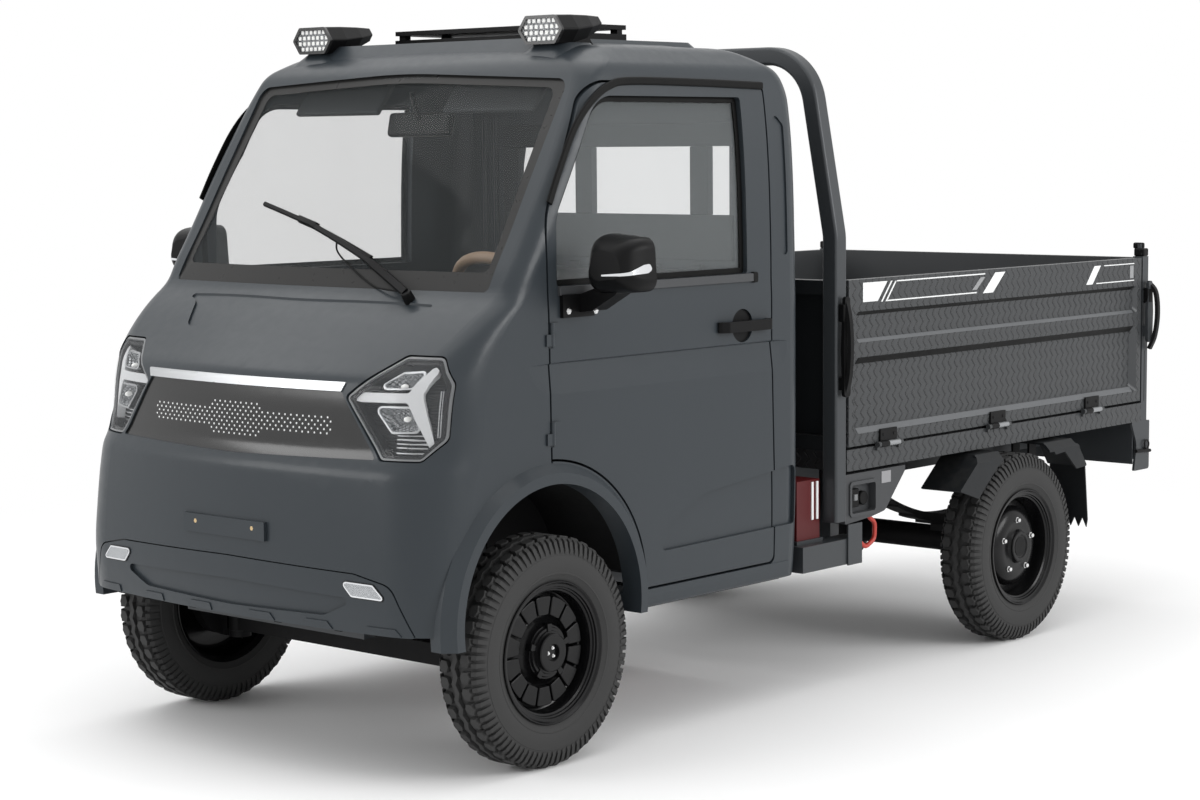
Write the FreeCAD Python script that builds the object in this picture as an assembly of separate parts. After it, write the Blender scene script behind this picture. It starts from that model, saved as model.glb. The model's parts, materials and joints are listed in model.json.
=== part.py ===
"""Electric mini cargo truck with a hollow two-seat cab and a drop-side load bed.

Units are millimetres. +Z is up, the truck faces -Y and its left side is +X.
The origin lies on the ground, under the middle of the truck's outer box.
"""
import FreeCAD, Part
import math
import os
from functools import lru_cache

V = FreeCAD.Vector
X_AXIS = V(1, 0, 0)
LEFT, RIGHT = 1, -1

# Running clearances
MOVE_GAP = 6.0
SEAT_GAP = 0.3
SHAFT_GAP = 0.05

# Wheels and axles
WHEELBASE = 2100.0
FRONT_AXLE_Y = -1230.0
REAR_AXLE_Y = FRONT_AXLE_Y + WHEELBASE
TYRE_RADIUS = 285.0
TYRE_WIDTH = 135.0
RIM_RADIUS = 166.0
RIM_WIDTH = 112.0
FRONT_TRACK = 1205.0
REAR_TRACK = 1245.0
HUB_RADIUS = 48.0
SPINDLE_RADIUS = 17.0
KINGPIN_OFFSET = 46.0
SPRING_REACH = 420.0
COLUMN_RADIUS = 24.0

# Cab envelope
CAB_REAR_Y = -190.0
CAB_BOTTOM_Z = 372.0
WINDSHIELD_BASE_Z = 1163.0
ROOF_SPLIT_Z = 1680.0
ROOF_TOP_Z = 1770.0
SHELL = 28.0
DOOR_THICKNESS = 42.0
GLASS_THICKNESS = 5.0
GLASS_INSET = 6.0
GLASS_REBATE = 10.0
REAR_CORNER = 70.0
REAR_WALL_BOTTOM_Z = 412.0

# Doors
DOOR_FRONT_Y = -1212.0
DOOR_REAR_Y = -345.0
DOOR_BOTTOM_Z = 392.0
DOOR_TOP_Z = 1664.0
DOOR_INNER_X = 590.0
SILL_BOTTOM_Z = 338.0
DOOR_AXIS_X = 652.0
DOOR_HINGES = (790.0, 1030.0)
DOOR_HINGE_RADIUS = 6.0
DOOR_KNUCKLE = 28.0

# Wheel arch
ARCH_Z = 380.0
ARCH_RADIUS = 318.0
FLARE_RADIUS = 370.0
FLARE_X = 674.0
LINER_X = 382.3
LINER_WALL = 4.0

# Load bed
BED_FRONT_Y = 4.0
BED_REAR_Y = 1638.0
BED_HALF_WIDTH = 647.5
BED_FLOOR_Z = 692.0
BED_UNDER_Z = 650.0
BOARD_BOTTOM_Z = 668.0
HINGE_Z = 664.0
HINGE_OUT = 8.5
HINGE_RADIUS = 8.0
HINGE_HALF = 45.0
SKIRT_TOP_Z = 660.0
SKIRT_BOTTOM_Z = 600.0
BOARD_TOP_Z = 1133.0
BOARD_THICKNESS = 26.0
BOARD_PANS = [(955, 1044, 10), (698, 916, 17)]
PAN_SLOPE = 1.25
POST = 36.0
GATE_GAP = 8.0
SIDE_HINGES = (198.0, 770.0, 1318.0)
GATE_HINGES = (-420.0, 0.0, 420.0)
TAIL_END_Y = 1700.0

# Chassis
RAIL_X = 330.0
RAIL_WIDTH = 45.0
RAIL_HEIGHT = 90.0
RAIL_TOP_Z = 470.0
CROSSBAR_Z = 590.0
SIDE_RAIL_END_Y = 83.0
UNIT_TRAY_Z = 420.0
TAIL_PLATE = 8.0
CABLE_RADIUS = 6.5
CABLE_X = 600.0

# Roll bar
BAR = 50.0
ROLL_BAR_Y = -21.0
ROLL_BAR_TOP_Z = 1778.0
ROLL_BAR_LEAN = 92.0
ROLL_BAR_KNEE_Z = 1256.0
ROLL_BAR_FOOT_Z = 462.0

# Nose features, seen from the front
LAMP_OUTLINE = [(366, 923, 12), (488, 1021, 26), (588, 1021, 22), (624, 960, 30),
                (622, 830, 30), (580, 780, 16), (480, 780, 16)]
GRILLE_OUTLINE = [(-352, 936, 4), (352, 936, 4), (466, 780, 4), (0, 771, 1400), (-466, 780, 4)]
BUMPER_OUTLINE = [(-430, 514, 60), (0, 521, 1500), (430, 514, 60), (540, 492, 45),
                  (592, 370, 4), (-592, 370, 4), (-540, 492, 45)]
FOG_OUTLINE = [(383, 495, 10), (489, 493, 10), (531, 453, 8), (421, 455, 12)]
PLATE_BOLT_X = 105.0
PLATE_BOLT_Z = 594.0


def box(x0, x1, y0, y1, z0, z1):
    """Axis-aligned block between two corners."""
    return Part.makeBox(x1 - x0, y1 - y0, z1 - z0, V(x0, y0, z0))


def rod(radius, start, end):
    """Round bar from one point to another."""
    axis = end - start
    return Part.makeCylinder(radius, axis.Length, start, axis)


def corner_arc(before, corner, after, radius):
    """Tangent points and arc middle of a rounded corner."""
    to_before = (before - corner).normalize()
    to_after = (after - corner).normalize()
    half = to_before.getAngle(to_after) / 2
    reach = radius / math.tan(half)
    limit = 0.49 * min(before.distanceToPoint(corner), after.distanceToPoint(corner))
    if reach > limit:
        reach = limit
        radius = reach * math.tan(half)
    centre = corner + (to_before + to_after).normalize() * (radius / math.sin(half))
    middle = centre + (corner - centre).normalize() * radius
    return corner + to_before * reach, middle, corner + to_after * reach


def rounded_wire(corners):
    """Closed wire through (point, radius) corners, each one rounded."""
    count = len(corners)
    arcs = []
    for index, (corner, radius) in enumerate(corners):
        before = corners[index - 1][0]
        after = corners[(index + 1) % count][0]
        straight = (before - corner).getAngle(after - corner) > math.pi - 0.002
        if radius <= 0 or straight:
            arcs.append((corner, None, corner))
        else:
            arcs.append(corner_arc(before, corner, after, radius))
    edges = []
    for index, (start, middle, end) in enumerate(arcs):
        if middle:
            edges.append(Part.Arc(start, middle, end).toShape())
        following = arcs[(index + 1) % count][0]
        if end.distanceToPoint(following) > 0.01:
            edges.append(Part.LineSegment(end, following).toShape())
    return Part.Wire(edges)


def prism_side(outline, x0, x1):
    """Outline of (y, z, radius) corners, extruded across the truck."""
    wire = rounded_wire([(V(x0, y, z), radius) for y, z, radius in outline])
    return Part.Face(wire).extrude(V(x1 - x0, 0, 0))


def prism_front(outline, y0, y1):
    """Outline of (x, z, radius) corners, extruded along the truck."""
    wire = rounded_wire([(V(x, y0, z), radius) for x, z, radius in outline])
    return Part.Face(wire).extrude(V(0, y1 - y0, 0))


def prism_top(outline, z0, z1):
    """Outline of (x, y, radius) corners, extruded upward."""
    wire = rounded_wire([(V(x, y, z0), radius) for x, y, radius in outline])
    return Part.Face(wire).extrude(V(0, 0, z1 - z0))


def mirrored(shape):
    """The same shape on the other side of the truck."""
    return shape.mirror(V(0, 0, 0), X_AXIS)


def on_side(shape, side):
    """A left-hand shape, placed on the wanted side."""
    return shape if side == LEFT else mirrored(shape)


def both(shape):
    """A left-hand shape with its mirror image, as separate solids."""
    return Part.Compound([shape, mirrored(shape)])


def fused(shapes):
    """One clean solid from several that touch."""
    result = shapes[0].multiFuse(shapes[1:]) if len(shapes) > 1 else shapes[0]
    return result.removeSplitter()


def tube_path(points, radius):
    """Wire of straight runs joined by tangent arcs."""
    edges = []
    start = points[0]
    for index in range(1, len(points) - 1):
        first, middle, last = corner_arc(points[index - 1], points[index], points[index + 1], radius)
        edges.append(Part.LineSegment(start, first).toShape())
        edges.append(Part.Arc(first, middle, last).toShape())
        start = last
    edges.append(Part.LineSegment(start, points[-1]).toShape())
    return Part.Wire(edges)


def cab_stations():
    """Plan outlines of the cab, from the lower edge up to the roof.

    Each holds height, nose y at the middle, nose y and half width where the
    corner starts, half width of the side, y where the side starts, rear y.
    """
    rear = CAB_REAR_Y
    return [
        (340, -1672, -1640, 500, 636, -1560, rear),
        (CAB_BOTTOM_Z, -1684, -1650, 515, 641, -1550, rear),
        (440, -1692, -1656, 520, 645, -1540, rear),
        (520, -1694, -1658, 520, 648, -1530, rear),
        (640, -1693, -1652, 512, 650, -1500, rear),
        (725, -1690, -1644, 505, 650, -1480, rear),
        (757, -1683, -1636, 500, 650, -1470, rear),
        (785, -1668, -1622, 495, 650, -1462, rear),
        (860, -1659, -1612, 490, 650, -1450, rear),
        (935, -1650, -1602, 490, 650, -1440, rear),
        (965, -1640, -1590, 498, 650, -1432, rear),
        (1000, -1598, -1550, 532, 650, -1420, rear),
        (1045, -1540, -1497, 566, 650, -1398, rear),
        (1100, -1470, -1431, 588, 650, -1352, rear),
        (WINDSHIELD_BASE_Z, -1390, -1352, 600, 648, -1286, rear),
        (1190, -1373, -1336, 601, 648, -1272, rear),
        (1260, -1329, -1293, 602, 647, -1230, rear),
        (1400, -1241, -1208, 602, 643, -1150, rear),
        (1540, -1153, -1124, 594, 634, -1066, rear),
        (1640, -1090, -1064, 580, 622, -1005, rear - 4),
        (1690, -1062, -1036, 565, 610, -968, rear - 22),
        (1722, -1036, -1012, 520, 586, -920, rear - 58),
        (1748, -985, -962, 478, 553, -872, rear - 118),
        (1763, -910, -890, 420, 500, -800, rear - 200),
        (ROOF_TOP_Z, -830, -812, 350, 435, -730, rear - 280),
    ]


def bezier(poles):
    """Edge along a Bezier curve."""
    curve = Part.BezierCurve()
    curve.setPoles(poles)
    return curve.toShape()


def cab_section(station, inset):
    """Closed wire of one plan outline, moved inward by an inset."""
    z, nose, shoulder, start, half, side, rear = station
    nose += inset
    shoulder += inset
    half -= inset
    start = min(start, half - 20)
    rear -= inset
    corner = REAR_CORNER - inset * 0.5
    rise = 2 * (shoulder - nose)
    reach = 0.55 * (half - start)
    pull = 0.55 * (side - shoulder)
    slope = rise / start
    round_pull = 0.448 * corner
    left = [
        [V(start, shoulder, z), V(start + reach, shoulder + slope * reach, z), V(half, side - pull, z),
         V(half, side, z)],
        [V(half, side, z), V(half, rear - corner, z)],
        [V(half, rear - corner, z), V(half, rear - round_pull, z), V(half - round_pull, rear, z),
         V(half - corner, rear, z)],
    ]
    right = [[V(-pole.x, pole.y, z) for pole in reversed(poles)] for poles in reversed(left)]
    front = [V(-start, shoulder, z), V(0, 2 * nose - shoulder, z), V(start, shoulder, z)]
    back = [V(half - corner, rear, z), V(corner - half, rear, z)]
    return Part.Wire([bezier(poles) for poles in [front] + left + [back] + right])


def cab_envelope(inset):
    """Solid inside the cab's outer surface, moved inward by an inset."""
    stations = cab_stations()
    drop = max(inset, 0.0)
    wires = []
    for station in stations:
        z = station[0]
        share = min(max((z - 1400) / (ROOF_TOP_Z - 1400), 0.0), 1.0)
        lowered = (z - drop * share,) + station[1:]
        wires.append(cab_section(lowered, inset))
    return Part.makeLoft(wires, True, False, False, 2)


def nose_point(x, z, lift):
    """Point on the front of the cab, lifted off its surface."""
    stations = cab_stations()
    for low, high in zip(stations, stations[1:]):
        if low[0] <= z <= high[0]:
            share = (z - low[0]) / (high[0] - low[0])
            nose, shoulder, start = [low[k] + share * (high[k] - low[k]) for k in (1, 2, 3)]
            rake = V(0, low[0] - high[0], high[1] - low[1]).normalize()
            return V(x, nose + (shoulder - nose) * (x / start) ** 2, z) + rake * lift
    return V(x, stations[-1][1], z)


class Cab:
    """Envelope solids that the cab's panels are cut from."""

    def __init__(self):
        self.solids = {}

    def solid(self, inset):
        """Envelope at one inset, built once."""
        if inset not in self.solids:
            self.solids[inset] = cab_envelope(inset)
        return self.solids[inset]

    def layer(self, outer, inner, region):
        """Part of the wall between two insets that lies inside a region."""
        return self.solid(outer).common(region).cut(self.solid(inner))


CAB = Cab()


def door_outline(grow):
    """Door edge in side view, moved outward by an amount."""
    arch = FLARE_RADIUS + MOVE_GAP - grow
    front = DOOR_FRONT_Y - grow
    rear = DOOR_REAR_Y + grow
    bottom = DOOR_BOTTOM_Z - grow
    top = DOOR_TOP_Z + grow
    arch_top = ARCH_Z + math.sqrt(arch ** 2 - (front - FRONT_AXLE_Y) ** 2)
    arch_end = FRONT_AXLE_Y + math.sqrt(arch ** 2 - (bottom - ARCH_Z) ** 2)
    turn = math.radians(45)
    middle = V(0, FRONT_AXLE_Y + arch * math.sin(turn), ARCH_Z + arch * math.cos(turn))
    lean_front = V(0, front - 10, 1330)
    lean_top = V(0, front + 176, top)
    bend_start, bend_middle, bend_end = corner_arc(lean_front, lean_top, V(0, rear, top), 110)
    knee = corner_arc(V(0, front, arch_top), lean_front, bend_start, 220)
    top_start, top_middle, top_end = corner_arc(bend_end, V(0, rear, top), V(0, rear, 1000), 22)
    foot = corner_arc(V(0, rear, 1000), V(0, rear + 18, bottom), V(0, arch_end, bottom), 20)
    return Part.Wire([
        Part.Arc(V(0, arch_end, bottom), middle, V(0, front, arch_top)).toShape(),
        Part.LineSegment(V(0, front, arch_top), knee[0]).toShape(),
        Part.Arc(*knee).toShape(),
        Part.LineSegment(knee[2], bend_start).toShape(),
        Part.Arc(bend_start, bend_middle, bend_end).toShape(),
        Part.LineSegment(bend_end, top_start).toShape(),
        Part.Arc(top_start, top_middle, top_end).toShape(),
        Part.LineSegment(top_end, V(0, rear, 1000)).toShape(),
        Part.LineSegment(V(0, rear, 1000), foot[0]).toShape(),
        Part.Arc(*foot).toShape(),
        Part.LineSegment(foot[2], V(0, arch_end, bottom)).toShape(),
    ])


def door_prism(grow):
    """Door outline extruded through the left wall."""
    face = Part.Face(door_outline(grow))
    face.translate(V(DOOR_INNER_X - grow, 0, 0))
    return face.extrude(V(220, 0, 0))


def window_prism(grow):
    """Door window in side view, extruded through the left wall."""
    outline = [(-1190 - grow, 1172 - grow, 10), (-1187 - grow, 1345, 120), (-1015 - grow, 1632 + grow, 110),
               (-444 + grow, 1632 + grow, 10), (-444 + grow, 1172 - grow, 10)]
    return prism_side(outline, 380, 800)


def windshield_prism(grow):
    """Windshield in front view, extruded along the truck."""
    outline = [(-584 - grow, 1153 - grow, 14), (0, 1148 - grow, 2500), (584 + grow, 1153 - grow, 14),
               (573 + grow, 1684 + grow, 34), (0, 1710 + grow, 2500), (-573 - grow, 1684 + grow, 34)]
    return prism_front(outline, -1500, -900)


def rear_window_prism(grow):
    """Rear window in front view, extruded through the rear wall."""
    outline = [(-420 - grow, 1200 - grow, 40), (420 + grow, 1200 - grow, 40),
               (420 + grow, 1560 + grow, 40), (-420 - grow, 1560 + grow, 40)]
    return prism_front(outline, CAB_REAR_Y - 80, CAB_REAR_Y + 40)


def arch_cutter():
    """Round opening over the left front wheel."""
    centre = V(LINER_X, FRONT_AXLE_Y, ARCH_Z)
    return Part.makeCylinder(ARCH_RADIUS, 400, centre, X_AXIS)


@lru_cache
def arch_flare():
    """Raised lip around the left arch, with a sloped outer face."""
    profile = [V(612, 0, ARCH_RADIUS), V(612, 0, FLARE_RADIUS), V(645, 0, FLARE_RADIUS),
               V(FLARE_X, 0, ARCH_RADIUS + 26), V(FLARE_X, 0, ARCH_RADIUS)]
    face = Part.Face(Part.makePolygon(profile + [profile[0]]))
    ring = face.revolve(V(0, 0, 0), X_AXIS, 360)
    ring.translate(V(0, FRONT_AXLE_Y, ARCH_Z))
    return ring.common(box(600, 700, -1700, -700, SILL_BOTTOM_Z, 900))


@lru_cache
def belt_groove():
    """Wedge cut under the belt line of the left side, faded out at its front."""
    rear_y = CAB_REAR_Y - REAR_CORNER - 10
    front_y = -1300
    wires = []
    for y, depth in ((front_y, 0.5), (front_y + 120, 8), (rear_y - 60, 8), (rear_y, 0.5)):
        corners = [V(651 - depth, y, 985), V(670, y, 1003), V(670, y, 880), V(651, y, 900)]
        wires.append(Part.makePolygon(corners + [corners[0]]))
    return Part.makeLoft(wires, True, True)


@lru_cache
def sill_swoosh():
    """Triangular recess low on the left side, running from door to rear corner."""
    outline = [(-812, 478, 18), (-775, 548, 60), (-624, 611, 120), (-235, 648, 20), (-235, 486, 12)]
    return CAB.layer(-2, 9, prism_side(outline, 500, 700))


def nose_cutters():
    """Everything taken out of the nose panel."""
    lamps = [(x + math.copysign(2, x - 500), z + math.copysign(2, z - 900), r) for x, z, r in LAMP_OUTLINE]
    lamp = prism_front(lamps, -1730, -1440)
    grille = prism_front(GRILLE_OUTLINE, -1730, -1560)
    strip = prism_front(strip_outline(0), -1730, -1560)
    bumper = prism_front(BUMPER_OUTLINE, -1730, -1560)
    bonnet = [(-352, -1508, 40), (0, -1540, 1500), (352, -1508, 40), (405, -1430, 60), (470, -1402, 12),
              (0, -1425, 2500), (-470, -1402, 12), (-405, -1430, 60)]
    bonnet_panel = CAB.layer(-2, 8, prism_top(bonnet, 980, 1200))
    return [lamp, mirrored(lamp), grille, strip, bumper, bonnet_panel]


def strip_outline(grow):
    """Bright strip above the grille, in front view."""
    half = 11 + grow
    return [(-354, 947 - half, 3), (354, 947 - half, 3), (364, 947 + half, 3), (-364, 947 + half, 3)]


def plate_bolt_holes(radius):
    """Drills for the two number plate bolts."""
    return [rod(radius, V(x, -1720, PLATE_BOLT_Z), V(x, -1560, PLATE_BOLT_Z)) for x in (-PLATE_BOLT_X, PLATE_BOLT_X)]


def cab_nose():
    """Front panel with both fenders, up to the windshield and back to the doors."""
    region = box(-700, 700, -1750, DOOR_FRONT_Y - MOVE_GAP, 340, WINDSHIELD_BASE_Z)
    panel = CAB.layer(0, SHELL, region)
    tools = nose_cutters() + plate_bolt_holes(7)
    tools += [both(arch_cutter()), both(belt_groove()), both(door_prism(MOVE_GAP)), windshield_glass()]
    panel = panel.cut(box(-700, 700, -1750, -1400, 300, CAB_BOTTOM_Z))
    panel = panel.multiFuse([flare_front(LEFT), flare_front(RIGHT)])
    hinges = [on_side(door_hinge(z, True), side) for z in DOOR_HINGES for side in (LEFT, RIGHT)]
    return fused([main_solid(panel.cut(tools))] + hinges)


def hinge_notch(z):
    """Room in the door's front edge for the fixed half of a hinge."""
    low, high = z - MOVE_GAP, z + DOOR_KNUCKLE + SEAT_GAP
    radius = DOOR_HINGE_RADIUS + SEAT_GAP
    around = rod(radius, V(DOOR_AXIS_X, DOOR_FRONT_Y, low), V(DOOR_AXIS_X, DOOR_FRONT_Y, high))
    return around.fuse(box(DOOR_AXIS_X - radius, DOOR_AXIS_X + radius, DOOR_FRONT_Y - 12, DOOR_FRONT_Y, low, high))


def door_hinge(z, fixed):
    """One half of a left door hinge: knuckle on the swing axis and its strap on nose or door."""
    low = z if fixed else z + DOOR_KNUCKLE + SEAT_GAP
    foot = V(DOOR_AXIS_X, DOOR_FRONT_Y, low)
    knuckle_rod = rod(DOOR_HINGE_RADIUS, foot, foot + V(0, 0, DOOR_KNUCKLE))
    y0, y1 = (DOOR_FRONT_Y - 22, DOOR_FRONT_Y) if fixed else (DOOR_FRONT_Y, DOOR_FRONT_Y + 22)
    strap = box(DOOR_AXIS_X - 6, DOOR_AXIS_X + 3, y0, y1, low, low + DOOR_KNUCKLE)
    return knuckle_rod.fuse(strap)


def flare_front(side):
    """Front part of the flare, ahead of the door edge."""
    return on_side(arch_flare().common(box(600, 700, -1750, DOOR_FRONT_Y - MOVE_GAP, 338, 900)), side)


def main_solid(shape):
    """Largest solid of a boolean result."""
    return max(shape.Solids, key=lambda solid: solid.Volume)


@lru_cache
def left_cab_side():
    """Side frame: pillars, cant rail, sill, rear quarter and the back of the flare."""
    pillars = box(360, 700, -1500, -150, WINDSHIELD_BASE_Z - 1, ROOF_SPLIT_Z)
    lower = box(560, 700, DOOR_FRONT_Y, -150, SILL_BOTTOM_Z, WINDSHIELD_BASE_Z)
    panel = CAB.layer(0, SHELL, pillars.fuse(lower))
    panel = panel.cut(box(0, 700, -1500, DOOR_FRONT_Y, 300, WINDSHIELD_BASE_Z))
    flare = arch_flare().common(box(600, 700, DOOR_FRONT_Y - MOVE_GAP, -700, SILL_BOTTOM_Z, 900))
    panel = panel.multiFuse([flare, sill_section()])
    tools = [arch_cutter(), door_prism(MOVE_GAP), windshield_glass(), windshield_prism(-GLASS_REBATE),
             belt_groove(), sill_swoosh(), quarter_recess(), box(0, 560, -300, -100, 300, 1700)]
    return main_solid(panel.cut(tools))


def sill_section():
    """Box sill under the door."""
    top = DOOR_BOTTOM_Z - MOVE_GAP
    outline = [(600, SILL_BOTTOM_Z, 8), (640, SILL_BOTTOM_Z, 14), (644, 366, 6), (644, top, 2), (600, top, 2)]
    return prism_front(outline, -912, CAB_REAR_Y - REAR_CORNER)


def quarter_recess():
    """Upright pressed recess behind the door."""
    outline = [(-312, 1240, 12), (-312, 1600, 18), (-268, 1560, 14), (-268, 1200, 12)]
    return CAB.layer(-2, 5, prism_side(outline, 540, 700))


def cab_roof():
    """Roof with its raised middle and two lamp pods."""
    region = box(-700, 700, -1300, -100, ROOF_SPLIT_Z, 1800)
    roof = CAB.layer(0, SHELL, region)
    raised = plateau(-440, 440, -985, -330, ROOF_TOP_Z - 30, 1782, 34)
    hollow = plateau(-400, 400, -945, -370, ROOF_TOP_Z - 60, 1782 - SHELL, 34)
    pods = [plateau(side * 421 - 92, side * 421 + 92, -1010, -800, 1725, 1768, 40) for side in (LEFT, RIGHT)]
    inside = CAB.solid(SHELL)
    pods = [pod.cut(inside) for pod in pods]
    roof = roof.multiFuse([raised.cut(hollow).cut(inside)] + pods)
    roof = roof.cut([windshield_glass(), windshield_prism(-GLASS_REBATE), hollow])
    return main_solid(roof)


def plateau(x0, x1, y0, y1, z0, z1, slope):
    """Rounded block that narrows toward its top."""
    wires = []
    for z, inset in ((z0, 0), (z1, slope)):
        corners = [(x0 + inset, y0 + inset), (x1 - inset, y0 + inset),
                   (x1 - inset, y1 - inset), (x0 + inset, y1 - inset)]
        wires.append(rounded_wire([(V(x, y, z), 36) for x, y in corners]))
    return Part.makeLoft(wires, True, True)


def cab_rear_wall():
    """Rear wall with window opening and pressed upright ribs."""
    region = box(-560, 560, CAB_REAR_Y - SHELL, CAB_REAR_Y + 5, REAR_WALL_BOTTOM_Z, ROOF_SPLIT_Z)
    wall = CAB.solid(0).common(region)
    ribs = []
    for side in (LEFT, RIGHT):
        for x in (470, 515):
            rib = rod(9, V(side * x, CAB_REAR_Y - SHELL, 620), V(side * x, CAB_REAR_Y - SHELL, 1600))
            ribs.append(rib)
    for x in (-300, -100, 100, 300):
        ribs.append(rod(9, V(x, CAB_REAR_Y - SHELL, 520), V(x, CAB_REAR_Y - SHELL, 1120)))
    wall = wall.multiFuse(ribs)
    wall = wall.cut([rear_window_prism(-GLASS_REBATE), rear_glass()])
    return main_solid(wall)


@lru_cache
def windshield_glass():
    """Bent windshield pane."""
    return CAB.layer(GLASS_INSET, GLASS_INSET + GLASS_THICKNESS, windshield_prism(0))


def rear_glass():
    """Rear window pane, let into the outer face of the rear wall."""
    pane = box(-600, 600, CAB_REAR_Y - GLASS_INSET - GLASS_THICKNESS, CAB_REAR_Y - GLASS_INSET, 1000, 1690)
    return pane.common(rear_window_prism(0))


@lru_cache
def left_door_glass():
    """Side window pane of the left door."""
    return main_solid(CAB.layer(18, 18 + GLASS_THICKNESS, window_prism(GLASS_REBATE)))


@lru_cache
def left_door():
    """Whole thick door with its window cut and a groove for the pane."""
    leaf = CAB.layer(0, DOOR_THICKNESS, door_prism(0))
    handle_cup = Part.makeCylinder(44, 22, V(638, -468, 1036), X_AXIS)
    notches = [hinge_notch(z) for z in DOOR_HINGES]
    leaf = leaf.cut([window_prism(0), left_door_glass(), belt_groove(), sill_swoosh(), handle_cup] + notches)
    return fused([main_solid(leaf)] + [door_hinge(z, False) for z in DOOR_HINGES])


def door_fittings(side):
    """Pull handle and the mirror on its bracket, each a solid on the door's face."""
    outline = [(664, -570, 9), (676, -552, 9), (676, -372, 9), (652, -352, 9), (652, -372, 4),
               (664, -384, 4), (664, -552, 4), (652, -562, 4), (652, -578, 4)]
    handle = prism_top(outline, 1022, 1050)
    cup = Part.makeCylinder(43.7, 6, V(638.3, -468, 1036), X_AXIS)
    post = rod(9, V(640, -468, 1036), V(668, -468, 1036))
    handle = fused([cup, post, handle])
    foot = box(648, 660, -1180, -1066, 1096, 1152)
    arm = prism_front([(652, 1106, 6), (700, 1112, 10), (780, 1156, 14), (780, 1190, 10),
                       (700, 1164, 10), (652, 1148, 4)], -1120, -1066)
    head = mirror_head()
    mirror = fused([foot, arm, head]).cut(CAB.solid(0))
    return on_side(Part.Compound([handle, main_solid(mirror)]), side)


def mirror_head():
    """Mirror housing, rounder toward the front."""
    wires = []
    for y, grow in ((-1165, -34), (-1140, -10), (-1100, 0), (-1062, 0)):
        corners = [(700 - grow * 0.6, 1150 - grow), (858 + grow * 0.6, 1162 - grow),
                   (850 + grow, 1288 + grow), (712 - grow, 1300 + grow)]
        wires.append(rounded_wire([(V(x, y, z), 30) for x, z in corners]))
    return Part.makeLoft(wires, True, False)


def cab_floor():
    """Foot well, toe board and the seat deck of the cab."""
    rear = CAB_REAR_Y - SHELL
    deck = prism_top([(-596, -850, 0), (596, -850, 0), (596, rear, 60), (-596, rear, 60)], 420, 440)
    well = box(-376, 376, -1440, -850, 420, 440)
    toe = prism_side([(-1440, 420, 2), (-1440, 700, 20), (-1410, 880, 2), (-1390, 880, 2), (-1420, 700, 20),
                      (-1420, 420, 2)], -376, 376)
    walls = [box(side * 376 - 6, side * 376 + 6, -1440, -850, 420, 720) for side in (LEFT, RIGHT)]
    return fused([deck, well, toe] + walls)


def dashboard():
    """Dash across the cab, under the windshield."""
    outline = [(-1438, 1140, 4), (-1438, 880, 6), (-1120, 880, 40), (-1075, 1000, 40), (-1110, 1090, 30),
               (-1230, 1135, 40)]
    body = prism_side(outline, -600, 600)
    binnacle = prism_side([(-1220, 1100, 10), (-1200, 1165, 20), (-1120, 1150, 20), (-1090, 1060, 10)], 170, 420)
    body = fused([body, binnacle])
    inner = CAB.solid(SHELL + SEAT_GAP)
    lower, upper, direction = steering_axis()
    return main_solid(body.common(inner).cut(rod(COLUMN_RADIUS + SEAT_GAP, lower, upper)))


def seat_base():
    """Box under the bench seat, over the battery."""
    return box(-560, 560, -760, -300, 440, 690)


def seat_cushion():
    """Bench seat cushion."""
    return prism_side([(-800, 690.3, 20), (-800, 785, 45), (-250, 785, 6), (-250, 690.3, 10)], -545, 545)


def seat_back():
    """Bench backrest, leaning on the rear wall."""
    return prism_side([(-400, 785.3, 6), (-300, 1175, 40), (-232, 1180, 30), (-232, 785.3, 6)], -545, 545)


def steering_axis():
    """Lower end, upper end and direction of the steering column."""
    lower = V(330, -1330, 760)
    upper = V(330, -1005, 1085)
    return lower, upper, (upper - lower).normalize()


def steering_column():
    """Column tube from the toe board to below the wheel."""
    lower, upper, direction = steering_axis()
    tube = rod(COLUMN_RADIUS, lower, upper - direction * 40)
    bore = rod(10 + SHAFT_GAP, upper - direction * 120, upper)
    return tube.cut(bore)


def steering_wheel():
    """Two-spoke wheel with its shaft in the column."""
    lower, upper, direction = steering_axis()
    centre = upper + direction * 30
    rim = Part.makeTorus(178, 15, centre, direction)
    hub = rod(46, upper - direction * 2, centre + direction * 14)
    shaft = rod(10, upper - direction * 110, upper)
    spokes = []
    side_way = X_AXIS
    low_way = direction.cross(side_way) * -1
    for way in (side_way, side_way * -1, low_way):
        spokes.append(rod(11, centre - direction * 6 + way * 20, centre + way * 172))
    return fused([rim, hub, shaft] + spokes)


def front_bumper():
    """Lower insert of the nose, with air scoop, lamp seats and raised tabs."""
    seam = [(x * 0.994, z - 3 if z > 400 else z, r) for x, z, r in BUMPER_OUTLINE]
    outer = CAB.layer(0, 13, prism_front(seam, -1730, -1560))
    inner = CAB.layer(12, SHELL, prism_front(BUMPER_OUTLINE, -1730, -1560))
    insert = outer.fuse(inner)
    mouth = [(-440, 452, 10), (0, 462, 1500), (440, 452, 10), (330, 404, 60), (0, 396, 1500), (-330, 404, 60)]
    scoop = CAB.layer(-2, 9, prism_front(mouth, -1730, -1560))
    fog = prism_front(FOG_OUTLINE, -1730, -1560)
    insert = insert.cut([scoop, fog, mirrored(fog)])
    tabs = []
    for x, half in ((112, 36), (305, 34), (505, 40)):
        outline = [(x - half - 8, 371, 2), (x + half + 16, 371, 2),
                   (x + half, 390, 4), (x - half - 4, 390, 4)]
        tab = CAB.layer(-3, 6, prism_front(outline, -1730, -1560))
        tabs += [tab, mirrored(tab)]
    return main_solid(insert.multiFuse(tabs))


def plate_bracket():
    """Flat bracket for a number plate, with two fixing holes."""
    plate = box(-150, 150, -1700, -1690, 566, 612)
    plate = plate.cut(plate_bolt_holes(4))
    return main_solid(plate.cut(CAB.solid(0)))


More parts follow.
